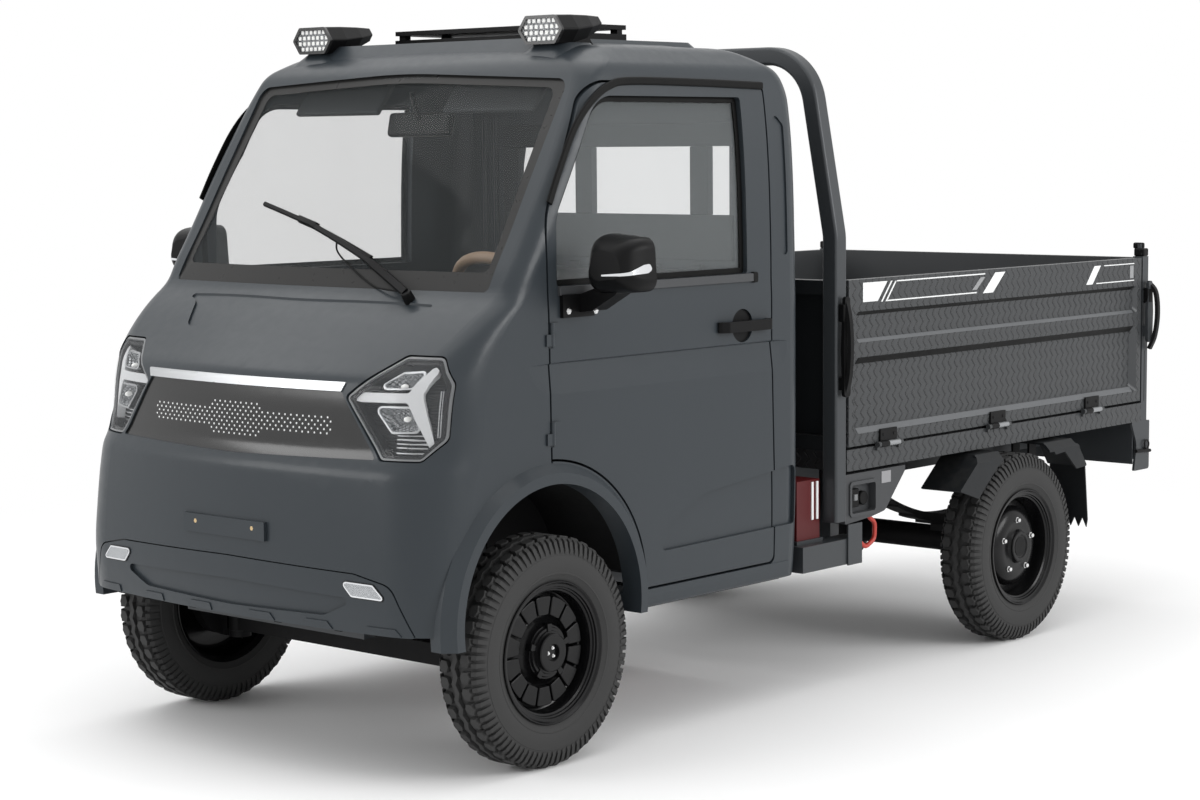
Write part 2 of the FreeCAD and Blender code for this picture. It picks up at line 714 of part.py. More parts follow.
def grille_panel():
    """Dark panel between the lamps, set back from the bonnet."""
    return main_solid(CAB.layer(5, 20, prism_front(GRILLE_OUTLINE, -1730, -1560)))


def trim_strip():
    """Bright strip between bonnet and grille."""
    return main_solid(CAB.layer(-4, 16, prism_front(strip_outline(0), -1730, -1560)))


def headlamps():
    """Two six-sided lamp bodies that follow the nose."""
    lamp = main_solid(CAB.layer(3, 64, prism_front(LAMP_OUTLINE, -1730, -1440)))
    return both(lamp)


def fog_lamps():
    """Two slanted fog lamps in the bumper insert."""
    lamp = main_solid(CAB.layer(-2, 24, prism_front(FOG_OUTLINE, -1730, -1560)))
    return both(lamp)


def roof_lamps():
    """Two work lamps with six-sided lenses on stalks."""
    lens = [(-76, 0, 6), (-50, 36, 8), (50, 36, 8), (76, 0, 6), (50, -36, 8), (-50, -36, 8)]
    wires = []
    for y, scale, lift in ((-985, 1.0, 0), (-930, 1.0, 2), (-860, 0.8, 10), (-800, 0.5, 20)):
        wires.append(rounded_wire([(V(421 + x * scale, y, 1799 + z * scale + lift), r * scale)
                                   for x, z, r in lens]))
    body = Part.makeLoft(wires, True, True)
    stalk = box(396, 446, -950, -900, 1755, 1775)
    stalk = stalk.cut(CAB.solid(0))
    rear = prism_side([(-930, 1740, 4), (-900, 1790, 10), (-840, 1790, 10), (-800, 1740, 4)], 396, 446)
    return both(fused([body, stalk, rear]).cut(cab_roof()))


def roof_hatch():
    """Low vent hatch on the roof: base frame with a lid on four feet."""
    base = box(-335, 335, -760, -560, 1782, 1802)
    base = base.cut(box(-300, 300, -730, -590, 1780, 1804))
    feet = [box(x - 12, x + 12, y - 10, y + 10, 1802, 1814) for x in (-315, 315) for y in (-742, -578)]
    lid = box(-330, 330, -764, -556, 1814, 1826)
    return fused([base, lid] + feet)


def wiper():
    """Single wiper arm and blade on its pivot."""
    hub = rod(17, nose_point(300, 1138, -8), nose_point(300, 1138, 30))
    elbow = nose_point(196, 1212, 24)
    arm = rod(8, nose_point(300, 1138, 22), elbow)
    beam = rod(5, elbow, nose_point(-30, 1262, 16))
    blade = rod(5, nose_point(190, 1184, 9), nose_point(-330, 1362, 9))
    yoke = rod(4, nose_point(-30, 1262, 16), nose_point(-30, 1259, 9))
    return main_solid(fused([hub, arm, beam, blade, yoke]).cut(CAB.solid(0)))


def chassis_frame():
    """Ladder frame with cross members, side rails, unit tray and bed outriggers."""
    parts = []
    low = RAIL_TOP_Z - RAIL_HEIGHT
    for side in (LEFT, RIGHT):
        x0 = side * RAIL_X - RAIL_WIDTH / 2
        rail = prism_side([(-1560, low + 20, 8), (-1560, RAIL_TOP_Z - 30, 8), (-1420, RAIL_TOP_Z - 62, 30),
                           (-180, RAIL_TOP_Z - 62, 40), (60, 590, 60), (1600, 590, 4), (1600, 510, 4),
                           (130, 510, 60), (-120, low - 62, 40), (-1420, low - 62, 30)], x0, x0 + RAIL_WIDTH)
        parts.append(rail)
        parts.append(box(*sorted((side * 350, side * 446)), FRONT_AXLE_Y - 32, FRONT_AXLE_Y + 32, 392, 408))
        parts += [on_side(part, side) for part in side_rail()]
    for y in (-1520, -1000, -200):
        parts.append(box(-RAIL_X, RAIL_X, y - 25, y + 25, low - 55, low - 5))
    for y in (160, 560, 1180, 1560):
        parts.append(box(-RAIL_X, RAIL_X, y - 25, y + 25, 520, 580))
    for y in (100, REAR_AXLE_Y - SPRING_REACH, 700, 1040, REAR_AXLE_Y + SPRING_REACH, 1570):
        parts.append(box(-600, 600, y - 22, y + 22, CROSSBAR_Z, BED_UNDER_Z))
    tail_half = BED_HALF_WIDTH - TAIL_PLATE - SEAT_GAP
    parts.append(box(-tail_half, tail_half, 1597, 1603, 462, SKIRT_BOTTOM_Z))
    return fused(parts)


def side_rail():
    """Left side rail: hidden tube under the cab, boxed end behind it, arms, posts and tray."""
    end = SIDE_RAIL_END_Y
    hidden = box(548, 592, -840, CAB_REAR_Y - 46, 326, 384)
    boxed = box(578, 640, CAB_REAR_Y + SEAT_GAP, end, SILL_BOTTOM_Z, 410)
    end_plate = box(640, 645, end - 68, end - 2, SILL_BOTTOM_Z - 3, 450)
    arms = [box(325, 600, y - 20, y + 20, 335, 375) for y in (-780, -420, end - 20)]
    outer_post = box(510, 550, end - 23, 100, 335, CROSSBAR_Z)
    inner_post = box(310, 350, end - 23, 100, 335, 560)
    tray = box(340, 606, -172, -52, 408, UNIT_TRAY_Z)
    return [hidden, boxed, end_plate, outer_post, inner_post, tray] + arms


def bed_floor():
    """Load floor with its side and end skirt rails."""
    floor = box(-618, 618, BED_FRONT_Y, BED_REAR_Y, BED_UNDER_Z, BED_FLOOR_Z)
    rails = []
    half = BED_HALF_WIDTH
    for x0, x1, y0, y1 in ((610, half, BED_FRONT_Y, BED_REAR_Y), (-half, -610, BED_FRONT_Y, BED_REAR_Y),
                           (-half, half, BED_FRONT_Y, BED_FRONT_Y + 36), (-half, half, BED_REAR_Y - 36, BED_REAR_Y)):
        rails.append(box(x0, x1, y0, y1, SKIRT_BOTTOM_Z, SKIRT_TOP_Z))
    ears = []
    for y in SIDE_HINGES:
        for end in (-1, 1):
            inner = y + end * (HINGE_HALF + SEAT_GAP)
            ears.append(side_ear(inner, inner + end * 14))
    gate_y = BED_REAR_Y + GATE_GAP + BOARD_THICKNESS + HINGE_OUT
    for x in GATE_HINGES:
        for end in (-1, 1):
            inner = x + end * (HINGE_HALF + SEAT_GAP)
            near, far = sorted((inner, inner + end * 14))
            pin = rod(HINGE_RADIUS, V(near, gate_y, HINGE_Z), V(far, gate_y, HINGE_Z))
            strap = box(near, far, BED_REAR_Y - 2, gate_y, 648, HINGE_Z - HINGE_RADIUS + 2)
            ears.append(pin.fuse(strap))
    return fused([floor] + rails + ears)


def side_ear(y0, y1):
    """Pair of fixed hinge ears for the side boards, left and right."""
    start, end = sorted((y0, y1))
    x = BED_HALF_WIDTH + HINGE_OUT
    ear = rod(HINGE_RADIUS, V(x, start, HINGE_Z), V(x, end, HINGE_Z))
    ear = ear.fuse(box(BED_HALF_WIDTH - 1, x, start, end, 648, HINGE_Z - 5))
    return both(ear)


def roll_bar():
    """Square-tube hoop behind the cab, leaning in above the bed."""
    x_low = BED_HALF_WIDTH - BAR / 2
    x_high = x_low - ROLL_BAR_LEAN
    z_top = ROLL_BAR_TOP_Z - BAR / 2
    points = [V(-x_low, ROLL_BAR_Y, ROLL_BAR_FOOT_Z), V(-x_low, ROLL_BAR_Y, ROLL_BAR_KNEE_Z),
              V(-x_high, ROLL_BAR_Y, z_top), V(x_high, ROLL_BAR_Y, z_top),
              V(x_low, ROLL_BAR_Y, ROLL_BAR_KNEE_Z), V(x_low, ROLL_BAR_Y, ROLL_BAR_FOOT_Z)]
    path = tube_path(points, 150)
    half = BAR / 2
    corners = [(-half, -half), (half, -half), (half, half), (-half, half)]
    section = rounded_wire([(V(points[0].x + a, ROLL_BAR_Y + b, ROLL_BAR_FOOT_Z), 8) for a, b in corners])
    return path.makePipeShell([section], True, True)


def headboard():
    """Front wall of the load bed, between the hoop's posts."""
    inner = BED_HALF_WIDTH - BAR
    rear = BED_FRONT_Y
    panel = box(-inner, inner, rear - 16, rear, SKIRT_TOP_Z, BOARD_TOP_Z)
    caps = [box(-inner, inner, rear - 40, rear, z, z + 40) for z in (SKIRT_TOP_Z, BOARD_TOP_Z - 40)]
    ribs = [box(x - 20, x + 20, rear - 40, rear - 16, SKIRT_TOP_Z, BOARD_TOP_Z)
            for x in (-380, -130, 130, 380)]
    return fused([panel] + caps + ribs)


def side_board(side):
    """Pressed drop board on one side, with three hinges."""
    front, rear = BED_FRONT_Y + 8, BED_REAR_Y - 8
    x0, x1 = BED_HALF_WIDTH - BOARD_THICKNESS, BED_HALF_WIDTH
    bottom = BOARD_BOTTOM_Z
    body = box(x0, x1, front, rear, bottom, BOARD_TOP_Z)
    body = body.cut([bevelled_recess(front + 26, rear - 26, z0, z1, x1, depth) for z0, z1, depth in BOARD_PANS])
    knuckles = []
    axis_x = x1 + HINGE_OUT
    for y in SIDE_HINGES:
        start = V(axis_x, y - HINGE_HALF, HINGE_Z)
        knuckles.append(rod(HINGE_RADIUS, start, start + V(0, 2 * HINGE_HALF, 0)))
        knuckles.append(box(x1, x1 + 5.5, y - HINGE_HALF + 5, y + HINGE_HALF - 5, HINGE_Z, 706))
    return on_side(fused([body] + knuckles), side)


def bevelled_recess(y0, y1, z0, z1, x, depth):
    """Shallow pan with sloped edges, cut from the outer face of a board."""
    wires = []
    for offset, shrink in ((1, -1), (-depth, depth * PAN_SLOPE)):
        corners = [(y0 + shrink, z0 + shrink), (y1 - shrink, z0 + shrink), (y1 - shrink, z1 - shrink),
                   (y0 + shrink, z1 - shrink)]
        wires.append(rounded_wire([(V(x + offset, y, z), 12) for y, z in corners]))
    return Part.makeLoft(wires, True, True)


def tailgate():
    """Rear drop board between the corner posts."""
    half = BED_HALF_WIDTH - POST - MOVE_GAP
    y0 = BED_REAR_Y + GATE_GAP
    y1 = y0 + BOARD_THICKNESS
    bottom = BOARD_BOTTOM_Z
    body = box(-half, half, y0, y1, bottom, BOARD_TOP_Z)
    cuts = []
    for z0, z1, depth in BOARD_PANS:
        wires = []
        for offset, shrink in ((1, -1), (-depth, depth * PAN_SLOPE)):
            corners = [(-half + 26 + shrink, z0 + shrink), (half - 26 - shrink, z0 + shrink),
                       (half - 26 - shrink, z1 - shrink), (-half + 26 + shrink, z1 - shrink)]
            wires.append(rounded_wire([(V(x, y1 + offset, z), 12) for x, z in corners]))
        cuts.append(Part.makeLoft(wires, True, True))
    body = body.cut(cuts)
    knuckles = []
    axis_y = y1 + HINGE_OUT
    for x in GATE_HINGES:
        start = V(x - HINGE_HALF, axis_y, HINGE_Z)
        knuckles.append(rod(HINGE_RADIUS, start, start + V(2 * HINGE_HALF, 0, 0)))
        knuckles.append(box(x - HINGE_HALF + 5, x + HINGE_HALF - 5, y1, y1 + 5.5, HINGE_Z, 706))
    return fused([body] + knuckles)


def rear_posts():
    """Corner posts at the tail, each with a toggle on top."""
    x0, x1 = BED_HALF_WIDTH - POST, BED_HALF_WIDTH
    y0 = BED_REAR_Y
    post = box(x0, x1, y0, y0 + POST, SKIRT_BOTTOM_Z, BOARD_TOP_Z + 4)
    foot = V((x0 + x1) / 2, y0 + POST / 2, BOARD_TOP_Z)
    stem = rod(5, foot, foot + V(0, 0, 30))
    knob = rod(11, foot + V(0, 0, 24), foot + V(0, 0, 44))
    latch = latch_lever(x1, y0 + POST / 2, 858, 1058)
    return both(fused([post, stem, knob, latch]))


def latch_lever(x, y, z0, z1):
    """Over-centre lever on the outside of a post."""
    middle = (z0 + z1) / 2
    lever = prism_side([(y - 14, z0, 12), (y - 18, middle, 60), (y - 11, z1, 10), (y + 11, z1, 10),
                        (y + 18, middle, 60), (y + 14, z0, 12)], x + 10, x + 20)
    pads = [box(x, x + 12, y - 15, y + 15, z, z + 34) for z in (z0 + 20, z1 - 68)]
    return fused([lever] + pads)


def front_latches():
    """Over-centre levers on the hoop's posts."""
    lever = latch_lever(BED_HALF_WIDTH, ROLL_BAR_Y, 812, 1090)
    return both(lever)


def tail_lamps():
    """Lamp boxes on plates under the tail corners."""
    outline = [(1578, SKIRT_BOTTOM_Z, 4), (1614, 527, 60), (1598, 440, 4), (1694, 440, 10), (1694, SKIRT_BOTTOM_Z, 4)]
    plate = prism_side(outline, BED_HALF_WIDTH - TAIL_PLATE, BED_HALF_WIDTH)
    lamp = box(470, BED_HALF_WIDTH - TAIL_PLATE, 1672, TAIL_END_Y, 468, 556)
    return both(fused([plate, lamp]))


def rear_axle():
    """Live axle turned in one with its gear bulge and drums, with the drive motor and spring seats."""
    half = [(0, 104), (48, 96), (96, 38), (520, 38), (520, 100), (597.5, 100), (597.5, SPINDLE_RADIUS),
            (640, SPINDLE_RADIUS), (640, 0)]
    profile = half + [(-x, r) for x, r in reversed(half[1:])]
    axle = turned(profile)
    axle.translate(V(0, REAR_AXLE_Y, TYRE_RADIUS))
    motor_y = REAR_AXLE_Y - 130
    motor = rod(92, V(-150, motor_y, TYRE_RADIUS + 40), V(90, motor_y, TYRE_RADIUS + 40))
    gear = box(-20, 70, motor_y - 10, REAR_AXLE_Y, TYRE_RADIUS - 60, TYRE_RADIUS + 84)
    seats = [box(side * 420 - 35, side * 420 + 35, REAR_AXLE_Y - 60, REAR_AXLE_Y + 60, TYRE_RADIUS + 30,
                 TYRE_RADIUS + 52) for side in (LEFT, RIGHT)]
    return fused([axle, motor, gear] + seats)


def leaf_springs():
    """Leaf packs over the rear axle with their shackles."""
    solids = []
    for side in (LEFT, RIGHT):
        leaves = []
        top = TYRE_RADIUS + 52 + 0.3
        for index in range(4):
            reach = SPRING_REACH - index * 90
            rise = 110 * (reach / SPRING_REACH) ** 2
            z = top + index * 0.1 + (3 - index) * 9
            start = V(0, REAR_AXLE_Y - reach, z + rise)
            middle = V(0, REAR_AXLE_Y, z)
            end = V(0, REAR_AXLE_Y + reach, z + rise)
            arc = Part.Arc(start, middle, end).toShape()
            lifted = Part.Arc(start + V(0, 0, 9), middle + V(0, 0, 9), end + V(0, 0, 9)).toShape()
            wire = Part.Wire([arc, Part.LineSegment(end, end + V(0, 0, 9)).toShape(), lifted,
                              Part.LineSegment(start + V(0, 0, 9), start).toShape()])
            leaf = Part.Face(wire).extrude(V(60, 0, 0))
            leaf.translate(V(side * 420 - 30, 0, 0))
            leaves.append(leaf)
        ends = []
        for end in (-1, 1):
            y = REAR_AXLE_Y + end * SPRING_REACH
            z = top + 27 + 110
            ends.append(rod(18, V(side * 420 - 30, y, z + 5), V(side * 420 + 30, y, z + 5)))
            ends.append(box(side * 420 - 34, side * 420 - 26, y - 20, y + 20, z - 15, CROSSBAR_Z))
            ends.append(box(side * 420 + 26, side * 420 + 34, y - 20, y + 20, z - 15, CROSSBAR_Z))
        solids.append(fused(leaves + ends))
    return Part.Compound(solids)


def front_axle():
    """Front beam with fork ends and two spring struts up to the frame."""
    beam = box(-470, 470, FRONT_AXLE_Y - 30, FRONT_AXLE_Y + 30, TYRE_RADIUS - 75, TYRE_RADIUS - 20)
    parts = [beam]
    for side in (LEFT, RIGHT):
        x = side * (FRONT_TRACK / 2 - KINGPIN_OFFSET - 62)
        eye = rod(30, V(x, FRONT_AXLE_Y, TYRE_RADIUS - 80), V(x, FRONT_AXLE_Y, TYRE_RADIUS - 12))
        strut = rod(26, V(side * 415, FRONT_AXLE_Y, TYRE_RADIUS - 30), V(side * 415, FRONT_AXLE_Y, 392))
        parts += [eye, strut]
    return fused(parts)


def knuckle(side):
    """Steering knuckle: kingpin yoke, brake drum and wheel spindle."""
    x = FRONT_TRACK / 2 - KINGPIN_OFFSET - 62
    z = TYRE_RADIUS
    yoke_low = rod(30, V(x, FRONT_AXLE_Y, z - 98), V(x, FRONT_AXLE_Y, z - 80.5))
    yoke_high = rod(30, V(x, FRONT_AXLE_Y, z - 11.5), V(x, FRONT_AXLE_Y, z + 14))
    web = box(x + 12, x + 60, FRONT_AXLE_Y - 22, FRONT_AXLE_Y + 22, z - 98, z + 14)
    web = web.cut(rod(36, V(x, FRONT_AXLE_Y, z - 120), V(x, FRONT_AXLE_Y, z + 40)))
    bridge_low = box(x, x + 60, FRONT_AXLE_Y - 20, FRONT_AXLE_Y + 20, z - 98, z - 80.5)
    bridge_high = box(x, x + 60, FRONT_AXLE_Y - 20, FRONT_AXLE_Y + 20, z - 11.5, z + 14)
    drum = rod(98, V(x + 48, FRONT_AXLE_Y, z), V(x + 83.5, FRONT_AXLE_Y, z))
    spindle = rod(SPINDLE_RADIUS, V(x + 60, FRONT_AXLE_Y, z), V(x + 130, FRONT_AXLE_Y, z))
    return on_side(fused([yoke_low, yoke_high, web, bridge_low, bridge_high, drum, spindle]), side)


@lru_cache
def tyre_solid():
    """Tyre about the X-axis at the origin: crown, rounded shoulders, bulging walls and beads."""
    half = TYRE_WIDTH / 2
    bead = RIM_RADIUS + 6
    crown_half = half - 17
    shoulder = TYRE_RADIUS - 5
    wall = TYRE_RADIUS - 34
    belly = TYRE_RADIUS - 66
    seat = RIM_WIDTH / 2
    edges = [
        Part.Arc(V(-crown_half, 0, shoulder), V(0, 0, TYRE_RADIUS), V(crown_half, 0, shoulder)).toShape(),
        Part.LineSegment(V(crown_half, 0, shoulder), V(half - 4, 0, wall)).toShape(),
        Part.Arc(V(half - 4, 0, wall), V(half, 0, belly), V(seat, 0, bead)).toShape(),
        Part.Arc(V(seat, 0, bead), V(0, 0, bead + 16), V(-seat, 0, bead)).toShape(),
        Part.Arc(V(-seat, 0, bead), V(-half, 0, belly), V(4 - half, 0, wall)).toShape(),
        Part.LineSegment(V(4 - half, 0, wall), V(-crown_half, 0, shoulder)).toShape(),
    ]
    return Part.Face(Part.Wire(edges)).revolve(V(0, 0, 0), X_AXIS, 360)


def turned(profile):
    """Solid turned about the X-axis from (x, radius) corners."""
    face = Part.Face(Part.makePolygon([V(x, 0, r) for x, r in profile + [profile[0]]]))
    return face.revolve(V(0, 0, 0), X_AXIS, 360)


def rim_solid(front):
    """Steel disc wheel about the X-axis at the origin, outer face toward +X."""
    half = RIM_WIDTH / 2
    profile = [(-half - 6, 176), (-half - 6, 168), (-half + 6, 160), (-20, 160), (-10, 150), (20, 150),
               (30, 160), (half - 6, 160), (half + 6, 168), (half + 6, 176), (half + 2, 176), (half, 170),
               (half - 8, RIM_RADIUS), (-half + 8, RIM_RADIUS), (-half, 170), (-half - 2, 176)]
    barrel = turned(profile)
    if front:
        disc_points = [(8, 155), (8, HUB_RADIUS), (14, HUB_RADIUS), (22, 80), (30, 100), (30, 122), (20, 140),
                       (14, 155)]
    else:
        disc_points = [(-12, 155), (-12, 112), (8, 104), (8, HUB_RADIUS), (28, HUB_RADIUS), (36, 80), (32, 106),
                       (24, 117), (-4, 124), (-4, 155)]
    disc = turned(disc_points)
    hub = rod(HUB_RADIUS + 1, V(-24, 0, 0), V(46, 0, 0))
    cap = rod(34, V(40, 0, 0), V(60, 0, 0))
    bore = rod(SPINDLE_RADIUS + SHAFT_GAP, V(-30, 0, 0), V(34, 0, 0))
    extras = []
    if front:
        for index in range(12):
            angle = index * 30
            fin = box(20, 40, -4, 4, 84, 128)
            fin.rotate(V(0, 0, 0), X_AXIS, angle)
            extras.append(fin)
    else:
        for index in range(5):
            angle = math.radians(72 * index)
            start = V(24, 82 * math.cos(angle), 82 * math.sin(angle))
            extras.append(rod(8, start, start + V(20, 0, 0)))
    return fused([barrel, disc, hub, cap] + extras).cut(bore)


def placed_wheel(solid, side, front):
    """A left-hand wheel part moved onto its hub."""
    track = FRONT_TRACK if front else REAR_TRACK
    y = FRONT_AXLE_Y if front else REAR_AXLE_Y
    moved = solid.copy()
    moved.translate(V(track / 2, y, TYRE_RADIUS))
    return on_side(moved, side)


def wheel_liners():
    """Inner wheel houses behind the front arches."""
    centre = V(LINER_X, FRONT_AXLE_Y, ARCH_Z)
    shell = Part.makeCylinder(ARCH_RADIUS + 8, 612 - LINER_X, centre, X_AXIS)
    hollow = Part.makeCylinder(ARCH_RADIUS + 2, 620 - LINER_X, centre + V(LINER_WALL, 0, 0), X_AXIS)
    keep = box(LINER_X - 5, 640, -1700, -800, 440, 900)
    liner = shell.cut(hollow).common(keep)
    liner = liner.cut(box(340, 460, FRONT_AXLE_Y - 60, FRONT_AXLE_Y + 60, 400, 600))
    return both(main_solid(liner))


def mudguards():
    """Bent guard plates before and behind each rear wheel, the rear one with a saw-edged flap."""
    top = CROSSBAR_Z
    inner, outer = 556, 694
    fold, skin = 22, 6
    front_leg = [(622, top, 3), (740, top, 12), (736, 562, 16), (706, 546, 20), (682, 528, 20), (604, 462, 3),
                 (504, 494, 3)]
    rear_leg = [(997, top, 3), (1166, top, 12), (1176, 560, 20), (1222, 500, 4), (1160, 496, 4), (1090, 556, 3),
                (1036, 552, 3)]
    front_sheet = [(622, top, 0), (740, top, 0), (740, top - skin, 0), (626, top - skin, 0), (511, 490, 0),
                   (504, 494, 0)]
    rear_sheet = [(997, top, 0), (1152, top, 0), (1220, 500, 0), (1213, 497, 0), (1148, top - skin, 0),
                  (997, top - skin, 0)]
    shapes = [prism_side(leg, outer - skin, outer) for leg in (front_leg, rear_leg)]
    shapes += [prism_side(sheet, inner, outer - skin + 1) for sheet in (front_sheet, rear_sheet)]
    corner = prism_front([(outer - fold, top, 0), (outer + 1, top, 0), (outer + 1, top - fold - 1, 0),
                          (outer, top - fold, 0)], 480, 1300)
    shapes = [shape.cut(corner) for shape in shapes]
    strip = [(outer - fold, top, 0), (outer, top - fold, 0), (outer, top - fold - skin, 0),
             (outer - skin, top - fold - skin, 0), (outer - fold - skin, top - skin, 0),
             (outer - fold - skin, top, 0)]
    for y0, y1 in ((612, 738), (999, 1160)):
        shapes.append(prism_front(strip, y0, y1))
    shapes.append(saw_flap(outer))
    return both(fused(shapes))


def saw_flap(outer):
    """Hanging flap with five pointed teeth along its lower edge."""
    outline = [(562, 512, 0), (outer - 6, 512, 0), (outer + 6, 330, 0)]
    for index in range(5):
        tip = outer + 2 - 28 * index
        outline += [(tip, 306, 0), (tip - 14, 336, 0)]
    return prism_front(outline, 1215, 1220)


def battery_box():
    """Battery block between the rails under the cab."""
    half = RAIL_X - RAIL_WIDTH / 2 - SEAT_GAP
    return box(-half, half, -740, -240, 300, 405)


def red_unit():
    """Plain electric unit on the tray between cab and bed."""
    return box(360, CABLE_X, -165, -60, UNIT_TRAY_Z, 585)


@lru_cache
def socket_box():
    """Charging and fuse box under the front of the bed, its window framed by a raised rim."""
    outline = [(BED_FRONT_Y + 2, 450, 6), (136, 460, 30), (200, 470, 30), (299, 575, 10), (299, CROSSBAR_Z, 2),
               (BED_FRONT_Y + 2, CROSSBAR_Z, 2)]
    body = prism_side(outline, 560, 640)
    rim = prism_side([(24, 468, 14), (156, 468, 14), (156, 568, 14), (24, 568, 14)], 638, 645)
    window = prism_side([(33, 478, 8), (147, 478, 8), (147, 558, 8), (33, 558, 8)], 620, 650)
    return fused([body, rim]).cut(window)


def red_cable():
    """Cable loop from the bottom of the socket box to the end of the side rail."""
    route = [(172, 480), (172, 452), (206, 432), (204, 384), (160, 364), (124, 390),
             (SIDE_RAIL_END_Y + SEAT_GAP, 392)]
    points = [V(CABLE_X, y, z) for y, z in route]
    circle = Part.Circle(points[0], V(0, 0, -1), CABLE_RADIUS)
    cable = tube_path(points, 24).makePipeShell([Part.Wire([circle.toShape()])], True, True)
    return main_solid(cable.cut(socket_box()))


PARTS = {
    "chassis_frame": chassis_frame,
    "cab_nose": cab_nose,
    "cab_side_left": left_cab_side,
    "cab_side_right": lambda: mirrored(left_cab_side()),
    "cab_roof": cab_roof,
    "cab_rear_wall": cab_rear_wall,
    "cab_floor": cab_floor,
    "dashboard": dashboard,
    "front_bumper": front_bumper,
    "plate_bracket": plate_bracket,
    "windshield": windshield_glass,
    "rear_window": rear_glass,
    "grille_panel": grille_panel,
    "trim_strip": trim_strip,
    "headlamps": headlamps,
    "fog_lamps": fog_lamps,
    "roof_lamps": roof_lamps,
    "roof_hatch": roof_hatch,
    "wiper": wiper,
    "seat_base": seat_base,
    "seat_cushion": seat_cushion,
    "seat_back": seat_back,
    "steering_column": steering_column,
    "steering_wheel": steering_wheel,
    "wheel_liners": wheel_liners,
    "door_left": left_door,
    "door_right": lambda: mirrored(left_door()),
    "door_glass_left": left_door_glass,
    "door_glass_right": lambda: mirrored(left_door_glass()),
    "door_fittings_left": lambda: door_fittings(LEFT),
    "door_fittings_right": lambda: door_fittings(RIGHT),
    "roll_bar": roll_bar,
    "bed_floor": bed_floor,
    "headboard": headboard,
    "front_latches": front_latches,
    "side_board_left": lambda: side_board(LEFT),
    "side_board_right": lambda: side_board(RIGHT),
    "tailgate": tailgate,
    "rear_posts": rear_posts,
    "tail_lamps": tail_lamps,
    "rear_axle": rear_axle,
    "leaf_springs": leaf_springs,
    "front_axle": front_axle,
    "mudguards": mudguards,
    "battery_box": battery_box,
    "socket_box": socket_box,
    "red_unit": red_unit,
    "red_cable": red_cable,
    "knuckle_left": lambda: knuckle(LEFT),
    "knuckle_right": lambda: knuckle(RIGHT),
    "tyre_front_left": lambda: placed_wheel(tyre_solid(), LEFT, True),
    "tyre_front_right": lambda: placed_wheel(tyre_solid(), RIGHT, True),
    "tyre_rear_left": lambda: placed_wheel(tyre_solid(), LEFT, False),
    "tyre_rear_right": lambda: placed_wheel(tyre_solid(), RIGHT, False),
    "rim_front_left": lambda: placed_wheel(rim_solid(True), LEFT, True),
    "rim_front_right": lambda: placed_wheel(rim_solid(True), RIGHT, True),
    "rim_rear_left": lambda: placed_wheel(rim_solid(False), LEFT, False),
    "rim_rear_right": lambda: placed_wheel(rim_solid(False), RIGHT, False),
}


def main():
    """Build every node and write it to its own file."""
    os.makedirs("parts", exist_ok=True)
    for name, make in PARTS.items():
        shape = make()
        shape.exportStep("parts/" + name + ".step")
        print("%-22s solids %d valid %s" % (name, len(shape.Solids), shape.isValid()))


main()
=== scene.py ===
"""Dressed scene of an electric mini truck: finishes, fine pieces, plain studio and camera."""

import json
import logging
import math
from math import cos, sin, tau
from dataclasses import dataclass
from enum import Enum
from typing import Callable, Optional, Sequence

import bmesh
import bpy
from mathutils import Matrix, Vector
from mathutils.bvhtree import BVHTree

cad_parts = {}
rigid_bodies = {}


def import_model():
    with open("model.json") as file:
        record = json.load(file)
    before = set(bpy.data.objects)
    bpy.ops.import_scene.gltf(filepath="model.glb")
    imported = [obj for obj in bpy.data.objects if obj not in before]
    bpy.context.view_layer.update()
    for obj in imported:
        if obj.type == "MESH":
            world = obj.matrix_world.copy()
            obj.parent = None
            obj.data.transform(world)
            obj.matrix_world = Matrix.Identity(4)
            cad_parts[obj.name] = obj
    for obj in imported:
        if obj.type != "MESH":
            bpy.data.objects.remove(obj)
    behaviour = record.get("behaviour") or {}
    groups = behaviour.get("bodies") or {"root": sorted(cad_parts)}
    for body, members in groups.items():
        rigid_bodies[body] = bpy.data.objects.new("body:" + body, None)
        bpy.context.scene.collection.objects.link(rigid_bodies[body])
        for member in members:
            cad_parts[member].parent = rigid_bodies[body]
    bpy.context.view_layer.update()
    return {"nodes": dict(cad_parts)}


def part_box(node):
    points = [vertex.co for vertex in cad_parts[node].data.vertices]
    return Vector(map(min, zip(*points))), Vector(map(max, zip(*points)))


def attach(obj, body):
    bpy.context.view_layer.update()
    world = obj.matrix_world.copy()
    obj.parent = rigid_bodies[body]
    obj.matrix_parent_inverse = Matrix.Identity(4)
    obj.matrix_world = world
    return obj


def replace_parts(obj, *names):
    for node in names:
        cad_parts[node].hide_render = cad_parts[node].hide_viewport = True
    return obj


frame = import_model()

LOG = logging.getLogger("truck")
Node, Socket, Tree = bpy.types.Node, bpy.types.NodeSocket, bpy.types.NodeTree
Piece = bpy.types.Object
Pair = tuple[float, float]
Triple = tuple[float, float, float]
Corners = tuple[Triple, ...]
Edge = Sequence[Pair]
Place = Callable[[float, float, float], Vector]
AXIS_X, AXIS_Y, AXIS_Z = Vector((1, 0, 0)), Vector((0, 1, 0)), Vector((0, 0, 1))
ON_AXIS = 0.00002  # radius that stands for the axis itself, and the distance at which points are merged
SHARP = 35.0  # degrees between faces from which an edge stays sharp
WHITE = (1.0, 1.0, 1.0, 1.0)
LEFT, RIGHT = 1, -1
SIDES = ((LEFT, "left"), (RIGHT, "right"))


class Pattern(Enum):
    """Relief that a finish carries besides its fine grain."""

    NONE = "none"
    # tread plate also carries painted shade along its ridges, in the base colour
    TREAD_PLATE = "tread plate"
    HIDE = "hide"
    LINES = "brush lines or ribs"
    PIPS = "pips"


